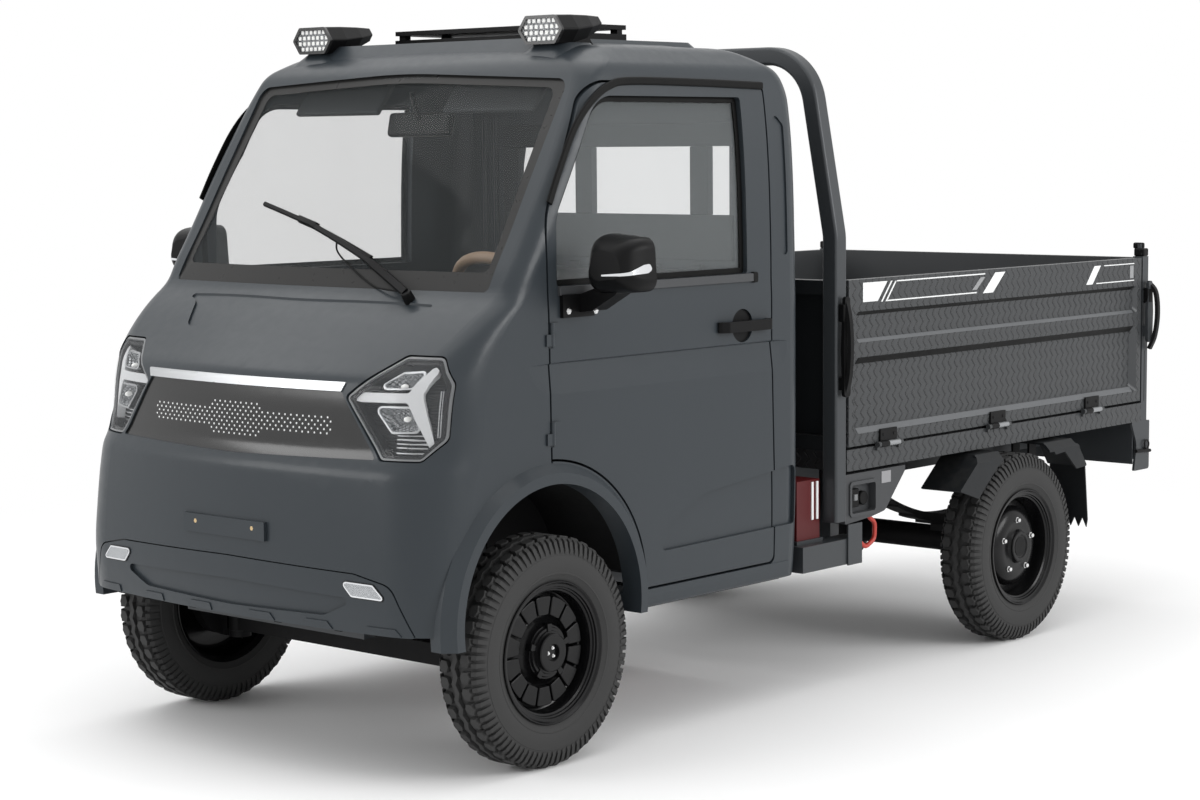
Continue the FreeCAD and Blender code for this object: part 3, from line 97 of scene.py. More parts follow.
class GraphPen:
    """Adds and joins nodes in one shader tree."""

    def __init__(self, tree: Tree) -> None:
        """Keeps the tree that is drawn in."""
        self.tree = tree

    def node(self, kind: str, **settings: object) -> Node:
        """Adds one node.

        Args:
            kind: Blender's type name of the node.
            settings: attributes to set on it.

        Returns:
            The new node.
        """
        made = self.tree.nodes.new(kind)
        for key, value in settings.items():
            setattr(made, key, value)
        return made

    def feed(self, socket: Socket, value: object) -> None:
        """Joins a socket to another one, or sets its value.

        Args:
            socket: input of a node.
            value: another node's output, or what to set.
        """
        if isinstance(value, Socket):
            self.tree.links.new(value, socket)
        else:
            socket.default_value = value

    def math(self, operation: str, first: object, second: object = 0.0, clamp: bool = False) -> Socket:
        """One scalar operation.

        Args:
            operation: Blender's name of it.
            first: socket or number.
            second: socket or number.
            clamp: whether the result is held between 0 and 1.

        Returns:
            The result's socket.
        """
        made = self.node("ShaderNodeMath", operation=operation, use_clamp=clamp)
        self.feed(made.inputs[0], first)
        self.feed(made.inputs[1], second)
        return made.outputs[0]

    def band(self, value: object, low: float, high: float) -> Socket:
        """Smooth step of a value.

        Args:
            value: socket or number.
            low: value that gives 0.
            high: value that gives 1.

        Returns:
            The step's socket.
        """
        made = self.node("ShaderNodeMapRange", interpolation_type="SMOOTHSTEP")
        for label, number in (("Value", value), ("From Min", low), ("From Max", high)):
            self.feed(made.inputs[label], number)
        return made.outputs["Result"]

    def blend(self, factor: object, first: object, second: object, kind: str = "FLOAT") -> Socket:
        """Blend of two numbers or colours.

        Args:
            factor: share of the second one.
            first: socket, number or colour.
            second: socket, number or colour.
            kind: FLOAT for numbers, RGBA for colours.

        Returns:
            The blend's socket.
        """
        made = self.node("ShaderNodeMix", data_type=kind)
        for label, value in (("Factor", factor), ("A", first), ("B", second)):
            self.feed(made.inputs[label], value)
        return made.outputs["Result"]

    def noise(self, vector: object, scale: object, detail: float) -> Socket:
        """Noise over the surface.

        Args:
            vector: place that it is read at.
            scale: waves on a metre.
            detail: number of finer layers.

        Returns:
            The noise's socket, from 0 to 1.
        """
        made = self.node("ShaderNodeTexNoise")
        for label, value in (("Vector", vector), ("Scale", scale), ("Detail", detail)):
            self.feed(made.inputs[label], value)
        return made.outputs["Fac"]


Draw = Callable[["EffectGroups", GraphPen, Node, Node], None]
Build = Callable[["EffectGroups"], Tree]


def effect(outputs: Sequence[str] = ("Height",), **inputs: object) -> Callable[[Draw], Build]:
    """Turns a drawing method into one that builds its node group on first use and gives it out.

    Args:
        outputs: the group's outputs; Color is a colour and every other one a number.
        inputs: each input with its default.

    Returns:
        The decorator.
    """
    def wrap(draw: Draw) -> Build:
        """Names the group after its drawing method.

        Args:
            draw: method that draws the nodes.

        Returns:
            Method that gives the group.
        """
        def build(self: "EffectGroups") -> Tree:
            """The node group, built when it is first asked for.

            Returns:
                The group's tree.
            """
            name = draw.__name__.replace("_", " ")
            if name not in self.built:
                tree = self.built[name] = bpy.data.node_groups.new(name, "ShaderNodeTree")
                for way, labels in (("INPUT", inputs), ("OUTPUT", outputs)):
                    for label in labels:
                        kind = "NodeSocketColor" if label == "Color" else "NodeSocketFloat"
                        socket = tree.interface.new_socket(label, in_out=way, socket_type=kind)
                        if way == "INPUT" and inputs[label] is not None:
                            socket.default_value = inputs[label]
                pen = GraphPen(tree)
                draw(self, pen, pen.node("NodeGroupInput"), pen.node("NodeGroupOutput"))
            return self.built[name]
        return build
    return wrap


class EffectGroups:
    """Node groups for effects that several finishes share.

    Each drawing method adds one group's nodes; the effect decorator turns it into one that gives the group.
    """

    def __init__(self) -> None:
        """Starts with no group built."""
        self.built: dict[str, Tree] = {}

    @effect(("Color", "Roughness"), Color=None, Drift=0.1, Dust=0.0, Roughness=0.5)
    def ageing(self, pen: GraphPen, entry: Node, leave: Node) -> None:
        """Soft colour drift, dust on upward faces and uneven gloss.

        Args:
            pen: the group's pen.
            entry: its input node.
            leave: its output node.
        """
        where = pen.node("ShaderNodeTexCoord")
        slow = pen.noise(where.outputs["Object"], 2.3, 3.0)
        fine = pen.noise(where.outputs["Object"], 38.0, 4.0)
        drift = pen.math("MULTIPLY", pen.math("SUBTRACT", slow, 0.5), entry.outputs["Drift"])
        tint = pen.node("ShaderNodeHueSaturation")
        pen.feed(tint.inputs["Color"], entry.outputs["Color"])
        pen.feed(tint.inputs["Value"], pen.math("ADD", drift, 1.0))
        up = pen.node("ShaderNodeSeparateXYZ")
        pen.feed(up.inputs[0], where.outputs["Normal"])
        settled = pen.math("MULTIPLY", pen.band(up.outputs["Z"], 0.35, 1.0), pen.band(fine, 0.35, 0.75))
        amount = pen.math("MULTIPLY", settled, entry.outputs["Dust"], clamp=True)
        dust = (0.36, 0.33, 0.29, 1.0)
        pen.feed(leave.inputs["Color"], pen.blend(amount, tint.outputs["Color"], dust, "RGBA"))
        spread = pen.math("MULTIPLY", pen.math("SUBTRACT", fine, 0.5), 0.16)
        rough = pen.math("ADD", pen.math("ADD", entry.outputs["Roughness"], spread), amount, clamp=True)
        pen.feed(leave.inputs["Roughness"], rough)

    @effect(Scale=300.0)
    def grain(self, pen: GraphPen, entry: Node, leave: Node) -> None:
        """Fine cast or sprayed grain: two noises of different size, added.

        Args:
            pen: the group's pen.
            entry: its input node.
            leave: its output node.
        """
        where = pen.node("ShaderNodeTexCoord").outputs["Object"]
        scale = entry.outputs["Scale"]
        fine = pen.noise(where, pen.math("MULTIPLY", scale, 3.1), 2.0)
        both = pen.math("ADD", pen.noise(where, scale, 3.0), pen.math("MULTIPLY", fine, 0.4))
        pen.feed(leave.inputs["Height"], both)

    @effect(("U", "V"))
    def flat_position(self, pen: GraphPen, entry: Node, leave: Node) -> None:
        """Two coordinates along the face, with the axes swapped where it looks along X or Z.

        Args:
            pen: the group's pen.
            entry: its input node.
            leave: its output node.
        """
        where = pen.node("ShaderNodeTexCoord")
        spot, look = pen.node("ShaderNodeSeparateXYZ"), pen.node("ShaderNodeSeparateXYZ")
        pen.feed(spot.inputs[0], where.outputs["Object"])
        pen.feed(look.inputs[0], where.outputs["Normal"])
        for label, axis in (("U", "X"), ("V", "Z")):
            along = pen.math("GREATER_THAN", pen.math("ABSOLUTE", look.outputs[axis]), 0.7)
            pen.feed(leave.inputs[label], pen.blend(along, spot.outputs[axis], spot.outputs["Y"]))

    @effect(Cell=0.024)
    def tread_plate(self, pen: GraphPen, entry: Node, leave: Node) -> None:
        """Rows of short slanted ridges, on faces that look away from the load; inner faces stay smooth.

        Args:
            pen: the group's pen.
            entry: its input node.
            leave: its output node.
        """
        flat = pen.node("ShaderNodeGroup", node_tree=self.flat_position())
        cell = entry.outputs["Cell"]
        row = pen.math("DIVIDE", flat.outputs["V"], cell)
        slant = pen.math("MULTIPLY", pen.math("PINGPONG", row, 1.0), 0.55)
        turns = pen.math("DIVIDE", flat.outputs["U"], pen.math("MULTIPLY", cell, 1.7))
        across = self.off_middle(pen, pen.math("ADD", turns, slant))
        thin = pen.math("SUBTRACT", 1.0, pen.band(across, 0.05, 0.17))
        short = pen.math("SUBTRACT", 1.0, pen.band(self.off_middle(pen, row), 0.38, 0.48))
        where = pen.node("ShaderNodeTexCoord")
        away = pen.node("ShaderNodeVectorMath", operation="MULTIPLY_ADD")
        pen.feed(away.inputs[0], where.outputs["Object"])
        away.inputs[1].default_value, away.inputs[2].default_value = (1.0, 1.0, -1.0), (0.0, -0.82, 0.9)
        facing = pen.node("ShaderNodeVectorMath", operation="DOT_PRODUCT")
        pen.feed(facing.inputs[0], away.outputs["Vector"])
        pen.feed(facing.inputs[1], where.outputs["Normal"])
        outside = pen.math("GREATER_THAN", facing.outputs["Value"], 0.1)
        pen.feed(leave.inputs["Height"], pen.math("MULTIPLY", pen.math("MULTIPLY", thin, short), outside))

    @staticmethod
    def off_middle(pen: GraphPen, value: Socket) -> Socket:
        """Distance of a value's fraction from one half."""
        return pen.math("ABSOLUTE", pen.math("SUBTRACT", pen.math("FRACT", value), 0.5))

    def wave(self, pen: GraphPen, label: str, pitch: Socket) -> Socket:
        """Sine of one flat coordinate.

        Args:
            pen: the pen of the group that is drawn.
            label: U or V.
            pitch: length of one wave.

        Returns:
            The sine's socket.
        """
        flat = pen.node("ShaderNodeGroup", node_tree=self.flat_position())
        turns = pen.math("MULTIPLY", pen.math("DIVIDE", flat.outputs[label], pitch), tau)
        return pen.math("SINE", turns)

    @effect(Scale=320.0)
    def hide(self, pen: GraphPen, entry: Node, leave: Node) -> None:
        """Pebbled leather: cells of a Voronoi pattern, softened by noise.

        Args:
            pen: the group's pen.
            entry: its input node.
            leave: its output node.
        """
        where, scale = pen.node("ShaderNodeTexCoord").outputs["Object"], entry.outputs["Scale"]
        cells = pen.node("ShaderNodeTexVoronoi", feature="SMOOTH_F1")
        pen.feed(cells.inputs["Vector"], where)
        pen.feed(cells.inputs["Scale"], scale)
        rough = pen.math("MULTIPLY", pen.noise(where, pen.math("MULTIPLY", scale, 0.4), 3.0), 0.6)
        pen.feed(leave.inputs["Height"], pen.math("SUBTRACT", rough, cells.outputs["Distance"]))

    @effect(Pitch=0.004)
    def lines(self, pen: GraphPen, entry: Node, leave: Node) -> None:
        """Parallel rounded ridges or brush lines across one coordinate."""
        pen.feed(leave.inputs["Height"], self.wave(pen, "V", entry.outputs["Pitch"]))

    @effect(Pitch=0.005)
    def pips(self, pen: GraphPen, entry: Node, leave: Node) -> None:
        """Small square lens cells, as the product of two waves."""
        waves = [self.wave(pen, label, entry.outputs["Pitch"]) for label in ("U", "V")]
        pen.feed(leave.inputs["Height"], pen.math("MULTIPLY", *waves))


EFFECTS = EffectGroups()
COAT_ROUGHNESS = 0.12


@dataclass(frozen=True)
class Finish:
    """One surface finish, turned into a material on first use.

    Lengths of pattern and relief are in metres.
    """

    name: str
    color: Triple
    roughness: float = 0.5
    metallic: float = 0.0
    coat: float = 0.0
    specular: float = 0.5
    alpha: float = 1.0
    glow: float = 0.0
    drift: float = 0.12
    dust: float = 0.0
    grain_scale: float = 260.0
    grain_depth: float = 0.0001
    pattern: Pattern = Pattern.NONE
    pattern_size: float = 0.024
    pattern_depth: float = 0.0012

    def material(self) -> bpy.types.Material:
        """The Blender material of this finish."""
        found = bpy.data.materials.get(self.name)
        return found if found else self.build()

    def build(self) -> bpy.types.Material:
        """Draws the node tree.

        Returns:
            The new material.
        """
        made = bpy.data.materials.new(self.name)
        made.use_nodes = True
        full = (*self.color, 1.0)
        made.diffuse_color = full
        pen = GraphPen(made.node_tree)
        shader = made.node_tree.nodes["Principled BSDF"]
        age = pen.node("ShaderNodeGroup", node_tree=EFFECTS.ageing())
        settings = [(age, "Color", full), (age, "Drift", self.drift), (age, "Dust", self.dust),
                    (age, "Roughness", self.roughness), (shader, "Base Color", age.outputs["Color"]),
                    (shader, "Roughness", age.outputs["Roughness"]), (shader, "Metallic", self.metallic),
                    (shader, "Coat Weight", self.coat), (shader, "Specular IOR Level", self.specular),
                    (shader, "Coat Roughness", COAT_ROUGHNESS), (shader, "Alpha", self.alpha)]
        if self.glow > 0:
            settings += [(shader, "Emission Color", full), (shader, "Emission Strength", self.glow)]
        for node, label, value in settings:
            pen.feed(node.inputs[label], value)
        if self.alpha == 1.0:
            pen.feed(shader.inputs["Normal"], self.relief(pen))
        return made

    def relief(self, pen: GraphPen) -> Socket:
        """Chain of bumps: fine grain first, then the pattern; tread plate also gets painted shade along its
        ridges in the base colour.

        Args:
            pen: pen of the material's tree.

        Returns:
            The normal's socket.
        """
        grain = pen.node("ShaderNodeGroup", node_tree=EFFECTS.grain())
        grain.inputs["Scale"].default_value = self.grain_scale
        bump = pen.node("ShaderNodeBump")
        bump.inputs["Distance"].default_value = self.grain_depth
        pen.feed(bump.inputs["Height"], grain.outputs["Height"])
        if self.pattern is Pattern.NONE:
            return bump.outputs["Normal"]
        builder, label, value = {Pattern.TREAD_PLATE: (EFFECTS.tread_plate, "Cell", self.pattern_size),
                                 Pattern.HIDE: (EFFECTS.hide, "Scale", 1.0 / self.pattern_size),
                                 Pattern.PIPS: (EFFECTS.pips, "Pitch", self.pattern_size),
                                 Pattern.LINES: (EFFECTS.lines, "Pitch", self.pattern_size)}[self.pattern]
        cells = pen.node("ShaderNodeGroup", node_tree=builder())
        cells.inputs[label].default_value = value
        raised = pen.node("ShaderNodeBump")
        raised.inputs["Distance"].default_value = self.pattern_depth
        # tread plate also gets painted shade: its base colour is darkened along the ridges
        if self.pattern is Pattern.TREAD_PLATE:
            self.darken(pen, cells.outputs["Height"])
        pen.feed(raised.inputs["Height"], cells.outputs["Height"])
        pen.feed(raised.inputs["Normal"], bump.outputs["Normal"])
        return raised.outputs["Normal"]

    def darken(self, pen: GraphPen, ridges: Socket) -> None:
        """Darkens the colour along the ridges of tread plate, as painted shade of the ridges.

        Args:
            pen: pen of the material's tree.
            ridges: height of the ridges.
        """
        base = pen.tree.nodes["Principled BSDF"].inputs["Base Color"]
        # colour of the painted shade along the ridges
        shade = (*(0.3 * part for part in self.color), 1.0)
        pen.feed(base, pen.blend(pen.math("MULTIPLY", ridges, 0.5), base.links[0].from_socket, shade, "RGBA"))


SMOOTH, MOULDED = 0.00001, 0.00006  # grain depths of polished and of moulded surfaces


class Look:
    """The truck's finishes, by the maker's plain names."""

    PAINT = Finish("slate_paint", (0.025, 0.031, 0.0365), 0.36, coat=0.06, specular=0.28, drift=0.06,
                   grain_scale=900, grain_depth=SMOOTH)
    BED = Finish("bed_plate_paint", (0.04, 0.0425, 0.045), 0.42, metallic=0.2, specular=0.4,
                 pattern=Pattern.TREAD_PLATE, pattern_size=0.0185, pattern_depth=0.0026, dust=0.04)
    BED_PLAIN = Finish("bed_smooth_paint", (0.013, 0.0145, 0.016), 0.44, metallic=0.2, specular=0.2,
                       dust=0.04)
    # Light grey strips on the lower slopes of the pressed pans: painted highlight where those slopes face the
    # light.
    FOLD = Finish("painted_slope_light", (0.105, 0.11, 0.116), 0.4, metallic=0.2)
    FRAME = Finish("frame_paint", (0.018, 0.02, 0.022), 0.42, specular=0.35, dust=0.05)
    UNDER = Finish("under_black", (0.006, 0.006, 0.0065), 0.6, specular=0.15, dust=0.04)
    PLASTIC = Finish("black_moulding", (0.0045, 0.0045, 0.0048), 0.4, specular=0.11, grain_scale=1400,
                     grain_depth=MOULDED)
    GREY_PLASTIC = Finish("grey_moulding", (0.04, 0.042, 0.045), 0.5, specular=0.35, grain_scale=1400,
                          grain_depth=MOULDED)
    SEAL = Finish("rubber_seal", (0.0045, 0.0045, 0.0045), 0.5, specular=0.1)
    GLOSS = Finish("gloss_black", (0.004, 0.004, 0.0043), 0.3, specular=0.06, grain_depth=SMOOTH)
    BRIGHT = Finish("bright_trim", (0.78, 0.79, 0.8), 0.16, metallic=1.0, drift=0.03, grain_depth=SMOOTH)
    BRUSHED = Finish("brushed_trim", (0.5, 0.51, 0.52), 0.3, metallic=1.0, pattern=Pattern.LINES,
                     pattern_size=0.0012, pattern_depth=0.00004)
    REFLECTOR = Finish("lamp_reflector", (0.4, 0.41, 0.42), 0.26, metallic=1.0, pattern=Pattern.PIPS,
                       pattern_size=0.012, pattern_depth=0.003)
    LAMP_EDGE = Finish("lamp_edge", (0.16, 0.165, 0.17), 0.35, specular=0.4)
    LAMP_BACK = Finish("lamp_housing", (0.018, 0.019, 0.02), 0.34, specular=0.3, pattern=Pattern.LINES,
                       pattern_size=0.0075, pattern_depth=0.0007)
    LAMP_DARK = Finish("lamp_dark", (0.01, 0.01, 0.011), 0.3, specular=0.25)
    LIGHT_BAR = Finish("light_bar", (0.62, 0.63, 0.64), 0.3, glow=0.05, drift=0.03)
    LED = Finish("led_cell", (0.88, 0.88, 0.86), 0.25, glow=0.25, drift=0.02)
    LENS = Finish("lamp_lens", (0.2, 0.21, 0.22), 0.05, alpha=0.1, drift=0.0, grain_depth=SMOOTH)
    FOG = Finish("fog_lens", (0.52, 0.54, 0.56), 0.2, coat=0.4, pattern=Pattern.PIPS, pattern_size=0.006,
                 pattern_depth=0.002, drift=0.04)
    PANE = Finish("window_pane", (0.07, 0.078, 0.08), 0.03, alpha=0.115, drift=0.0, grain_depth=SMOOTH)
    # Pale grey colour on the door glass: a painted reflection, a haze that stands for the glass's sheen.
    SIDE_PANE_PAINTED_REFLECTION = Finish("side_pane_painted_reflection", (0.42, 0.45, 0.46), 0.03, alpha=0.12, drift=0.0,
                       grain_depth=SMOOTH)
    FRIT = Finish("frit_band", (0.018, 0.0178, 0.0175), 0.3, specular=0.22, drift=0.03, grain_depth=SMOOTH)
    TYRE = Finish("tyre_rubber", (0.0032, 0.0032, 0.0035), 0.6, specular=0.08, grain_scale=500,
                  grain_depth=0.0003)
    RIM = Finish("wheel_black", (0.004, 0.004, 0.0044), 0.24, specular=0.22)
    NUT = Finish("chrome_nut", (0.72, 0.72, 0.72), 0.2, metallic=1.0, drift=0.05)
    BRASS = Finish("brass_bolt", (0.62, 0.46, 0.26), 0.32, metallic=1.0)
    STEEL = Finish("bare_steel", (0.34, 0.34, 0.35), 0.42, metallic=1.0, dust=0.1)
    ROD = Finish("light_rod", (0.3, 0.31, 0.32), 0.35, metallic=0.8, drift=0.04)
    TAN = Finish("tan_leather", (0.3, 0.205, 0.13), 0.5, pattern=Pattern.HIDE, pattern_size=0.0032,
                 pattern_depth=0.0003)
    SPOKE = Finish("grey_spoke", (0.2, 0.22, 0.23), 0.5)
    SEAT = Finish("seat_leather", (0.016, 0.017, 0.018), 0.5, specular=0.3, pattern=Pattern.HIDE,
                  pattern_size=0.0034, pattern_depth=0.0004)
    CABIN = Finish("cabin_moulding", (0.026, 0.029, 0.031), 0.6, specular=0.25, grain_scale=900,
                   grain_depth=SMOOTH)
    MAT = Finish("floor_mat", (0.018, 0.018, 0.019), 0.8, pattern=Pattern.LINES, pattern_size=0.012,
                 pattern_depth=0.001)
    STRIPE = Finish("white_stripe", (0.74, 0.75, 0.75), 0.5, drift=0.03)
    STRIPE_GREY = Finish("grey_stripe", (0.25, 0.255, 0.26), 0.5, drift=0.03)
    RED = Finish("red_cable", (0.42, 0.035, 0.022), 0.42)
    # Red of the case, darkened as painted shade for the shadow that the unit sits in.
    RED_CASE_PAINTED_SHADE = Finish("red_case_painted_shade", (0.075, 0.006, 0.007), 0.4, specular=0.25)
    TAIL_RED = Finish("tail_lens_red", (0.36, 0.012, 0.012), 0.12, coat=0.6, pattern=Pattern.PIPS,
                      pattern_size=0.008, pattern_depth=0.001)
    TAIL_AMBER = Finish("tail_lens_amber", (0.55, 0.16, 0.012), 0.12, coat=0.6, pattern=Pattern.PIPS,
                        pattern_size=0.008, pattern_depth=0.001)
    MIRROR = Finish("mirror_glass", (0.82, 0.84, 0.85), 0.03, metallic=1.0, drift=0.0, grain_depth=SMOOTH)


class Outline:
    """Plain polygons with rounded corners, as lists of (u, v) points."""

    @staticmethod
    def rounded(corners: Sequence[Triple], steps: int = 5) -> list[Pair]:
        """Polygon whose corners are replaced by arcs.

        Args:
            corners: (u, v, radius) of each corner, in order.
            steps: points on each arc.

        Returns:
            The points of the rounded outline.
        """
        points: list[Pair] = []
        count = len(corners)
        for index, (u, v, radius) in enumerate(corners):
            here = Vector((u, v))
            before = Vector(corners[index - 1][:2]) - here
            after = Vector(corners[(index + 1) % count][:2]) - here
            turn = before.angle(after)
            if radius <= 0 or turn > math.pi - 0.01:
                points.append((u, v))
                continue
            reach = min(radius / math.tan(turn / 2), 0.49 * before.length, 0.49 * after.length)
            real = reach * math.tan(turn / 2)
            start = here + before.normalized() * reach
            end = here + after.normalized() * reach
            middle = (before.normalized() + after.normalized()).normalized()
            centre = here + middle * (real / sin(turn / 2))
            first, last = start - centre, end - centre
            sweep = first.angle_signed(last)
            for step in range(steps + 1):
                angle = -sweep * step / steps
                spot = centre + Vector((first.x * cos(angle) - first.y * sin(angle),
                                        first.x * sin(angle) + first.y * cos(angle)))
                points.append((spot.x, spot.y))
        return points

    @staticmethod
    def plate(u0: float, v0: float, u1: float, v1: float, radius: float = 0.0, steps: int = 5) -> list[Pair]:
        """Rectangle from (u0, v0) to (u1, v1) with equal corners."""
        return Outline.rounded([(u, v, radius) for u, v in ((u0, v0), (u1, v0), (u1, v1), (u0, v1))], steps)

    @staticmethod
    def inset(points: Edge, amount: float) -> list[Pair]:
        """Outline moved inward, corner by corner.

        Args:
            points: the outline.
            amount: distance, negative to move outward.

        Returns:
            As many points as were given.
        """
        count = len(points)
        area = sum(points[i][0] * points[(i + 1) % count][1] - points[(i + 1) % count][0] * points[i][1]
                   for i in range(count))
        turn = 1.0 if area > 0 else -1.0
        moved: list[Pair] = []
        for index, (u, v) in enumerate(points):
            before = (Vector((u, v)) - Vector(points[index - 1])).normalized()
            after = (Vector(points[(index + 1) % count]) - Vector((u, v))).normalized()
            normal = (Vector((-before.y, before.x)) + Vector((-after.y, after.x))) * turn
            scale = amount / max(0.35, normal.normalized().dot(Vector((-before.y, before.x)) * turn))
            shift = normal.normalized() * scale
            moved.append((u + shift.x, v + shift.y))
        return moved

    @staticmethod
    def mirrored(points: Edge, side: int) -> list[Pair]:
        """Outline flipped across the middle of the truck for the right side."""
        return [(side * u, v) for u, v in points]


class Make:
    """Turns points, profiles and paths into finished mesh pieces."""

    @staticmethod
    def from_data(name: str, points: Sequence[Vector], faces: Sequence[Sequence[int]], finish: Finish,
                  angle: float = SHARP) -> Piece:
        """Mesh piece from vertices and faces.

        Args:
            name: the piece's name.
            points: its vertices.
            faces: vertex numbers of each face.
            finish: the piece's finish.
            angle: degrees up to which edges are smooth.

        Returns:
            The new piece.
        """
        mesh = bpy.data.meshes.new(name)
        mesh.from_pydata([tuple(point) for point in points], [], [list(face) for face in faces])
        return Make.finished(name, mesh, finish, angle)

    @staticmethod
    def finished(name: str, mesh: bpy.types.Mesh, finish: Finish, angle: float = SHARP) -> Piece:
        """Puts a mesh in the scene with outward faces, smooth shading and its material.

        Args:
            name: the piece's name.
            mesh: its mesh.
            finish: the piece's finish.
            angle: degrees up to which edges are smooth.

        Returns:
            The new piece.
        """
        shape = bmesh.new()
        shape.from_mesh(mesh)
        bmesh.ops.remove_doubles(shape, verts=shape.verts, dist=ON_AXIS)
        bmesh.ops.recalc_face_normals(shape, faces=shape.faces)
        shape.to_mesh(mesh)
        shape.free()
        mesh.shade_smooth()
        mesh.set_sharp_from_angle(angle=math.radians(angle))
        mesh.materials.append(finish.material())
        return Make.linked(name, mesh)

    @staticmethod
    def linked(name: str, data: bpy.types.ID) -> Piece:
        """New object of the scene for a mesh, a light or a camera.

        Args:
            name: the object's name.
            data: what it shows.

        Returns:
            The object.
        """
        made = bpy.data.objects.new(name, data)
        bpy.context.scene.collection.objects.link(made)
        return made

    @staticmethod
    def bands(rows: int, sides: int, round_rows: bool = False, round_sides: bool = True,
              first: int = 0) -> list[tuple[int, ...]]:
        """Quads between rows of points; the last row, or each row's last point, may join the first.

        Args:
            rows: how many rows.
            sides: points in each row.
            round_rows: whether the last row joins the first.
            round_sides: whether a row's last point joins its first.
            first: index of the first point.

        Returns:
            The quads, as indices of points.
        """
        return [tuple(first + row * sides + side for row, side in ((i, k), (i, (k + 1) % sides),
                                                                   ((i + 1) % rows, (k + 1) % sides),
                                                                   ((i + 1) % rows, k)))
                for i in range(rows if round_rows else rows - 1)
                for k in range(sides if round_sides else sides - 1)]

    @staticmethod
    def joined(name: str, pieces: Sequence[Piece], body: str = "", slot: str = "") -> Piece:
        """One piece from several, each keeping its material.

        Args:
            name: the whole piece's name.
            pieces: the parts.
            body: CAD body that the whole rides on, if it is to be dressed.
            slot: its material slot.

        Returns:
            The joined piece.
        """
        bpy.ops.object.select_all(action="DESELECT")
        for piece in pieces:
            if piece.modifiers:
                shaped = piece.evaluated_get(bpy.context.evaluated_depsgraph_get())
                mesh = bpy.data.meshes.new_from_object(shaped)
                piece.modifiers.clear()
                piece.data = mesh
            piece.select_set(True)
        whole = bpy.context.view_layer.objects.active = pieces[0]
        bpy.ops.object.join()
        whole.name = name
        return dress(whole, body, slot) if body else whole

    @staticmethod
    def bevelled(piece: Piece, width: float) -> Piece:
        """Rounds a piece's sharp edges with a modifier.

        Args:
            piece: the piece.
            width: of the rounding.

        Returns:
            The same piece.
        """
        rounding = piece.modifiers.new("rounding", "BEVEL")
        rounding.width, rounding.segments = width, 2
        rounding.limit_method, rounding.angle_limit = "ANGLE", math.radians(SHARP)
        rounding.harden_normals = True
        return piece

    @staticmethod
    def block(name: str, low: Sequence[float], high: Sequence[float], finish: Finish, bevel: float = 0.002,
              turn: Optional[Matrix] = None) -> Piece:
        """Box with rounded edges.

        Args:
            name: the piece's name.
            low: its lower corner.
            high: its upper corner.
            finish: the piece's finish.
            bevel: edge rounding.
            turn: rotation about its middle.

        Returns:
            The new piece.
        """
        centre = (Vector(low) + Vector(high)) / 2
        half = (Vector(high) - Vector(low)) / 2
        spin = turn or Matrix.Identity(3)
        points = [centre + spin @ Vector((sx * half.x, sy * half.y, sz * half.z))
                  for sx in (-1, 1) for sy in (-1, 1) for sz in (-1, 1)]
        faces = [(0, 1, 3, 2), (4, 6, 7, 5), (0, 4, 5, 1), (2, 3, 7, 6), (0, 2, 6, 4), (1, 5, 7, 3)]
        return Make.bevelled(Make.from_data(name, points, faces, finish), bevel)

    @staticmethod
    def slab(name: str, outline: Edge, place: Place, low: float, high: float, finish: Finish,
             step: float = 0.0, bevel: float = 0.0) -> Piece:
        """Plate cut to an outline and laid on a surface.

        Args:
            name: the piece's name.
            outline: (u, v) points of the plate's edge.
            place: maps (u, v, lift) to a point in space.
            low: lift of the plate's back.
            high: lift of the plate's face.
            finish: the plate's finish.
            step: spacing of inner points that follow the surface, 0 for none.
            bevel: edge rounding.

        Returns:
            The new piece.
        """
        shape = bmesh.new()
        shape.faces.new([shape.verts.new((u, v, 0.0)) for u, v in outline])
        if step > 0:
            for axis in (0, 1):
                values = [point[axis] for point in outline]
                for index in range(math.ceil(min(values) / step), math.floor(max(values) / step) + 1):
                    spot, normal = Vector((0, 0, 0)), Vector((0, 0, 0))
                    spot[axis], normal[axis] = index * step, 1.0
                    parts = shape.verts[:] + shape.edges[:] + shape.faces[:]
                    bmesh.ops.bisect_plane(shape, geom=parts, plane_co=spot, plane_no=normal)
        lifted = bmesh.ops.extrude_face_region(shape, geom=shape.faces[:])
        top = {part for part in lifted["geom"] if isinstance(part, bmesh.types.BMVert)}
        for vert in shape.verts:
            vert.co = place(vert.co.x, vert.co.y, high if vert in top else low)
        mesh = bpy.data.meshes.new(name)
        shape.to_mesh(mesh)
        shape.free()
        made = Make.finished(name, mesh, finish)
        return Make.bevelled(made, bevel) if bevel > 0 else made

    @staticmethod
    def ring(name: str, outer: Edge, inner: Edge, place: Place, low: float, high: float,
             finish: Finish, step: float = 0.03) -> Piece:
        """Flat band between two outlines of equal point count, laid on a surface.

        Args:
            name: the piece's name.
            outer: (u, v) points of its outer edge.
            inner: those of its inner edge.
            place: maps (u, v, lift) to a point in space.
            low: lift of its back.
            high: lift of its face.
            finish: the piece's finish.
            step: longest distance between points along the outer edge.

        Returns:
            The new piece.
        """
        count = len(outer)
        loops: list[list[Vector]] = []
        for points in (outer, inner):
            loop: list[Vector] = []
            for index in range(count):
                after = (index + 1) % count
                first, last = Vector(points[index]), Vector(points[after])
                parts = max(1, math.ceil((Vector(outer[after]) - Vector(outer[index])).length / step))
                loop += [first.lerp(last, part / parts) for part in range(parts)]
            loops.append(loop)
        size = len(loops[0])
        spots = [place(spot.x, spot.y, lift) for lift in (low, high) for loop in loops for spot in loop]
        faces = [(a * size + i, a * size + (i + 1) % size, b * size + (i + 1) % size, b * size + i)
                 for i in range(size) for a, b in ((0, 1), (3, 2), (2, 0), (1, 3))]
        return Make.from_data(name, spots, faces, finish)

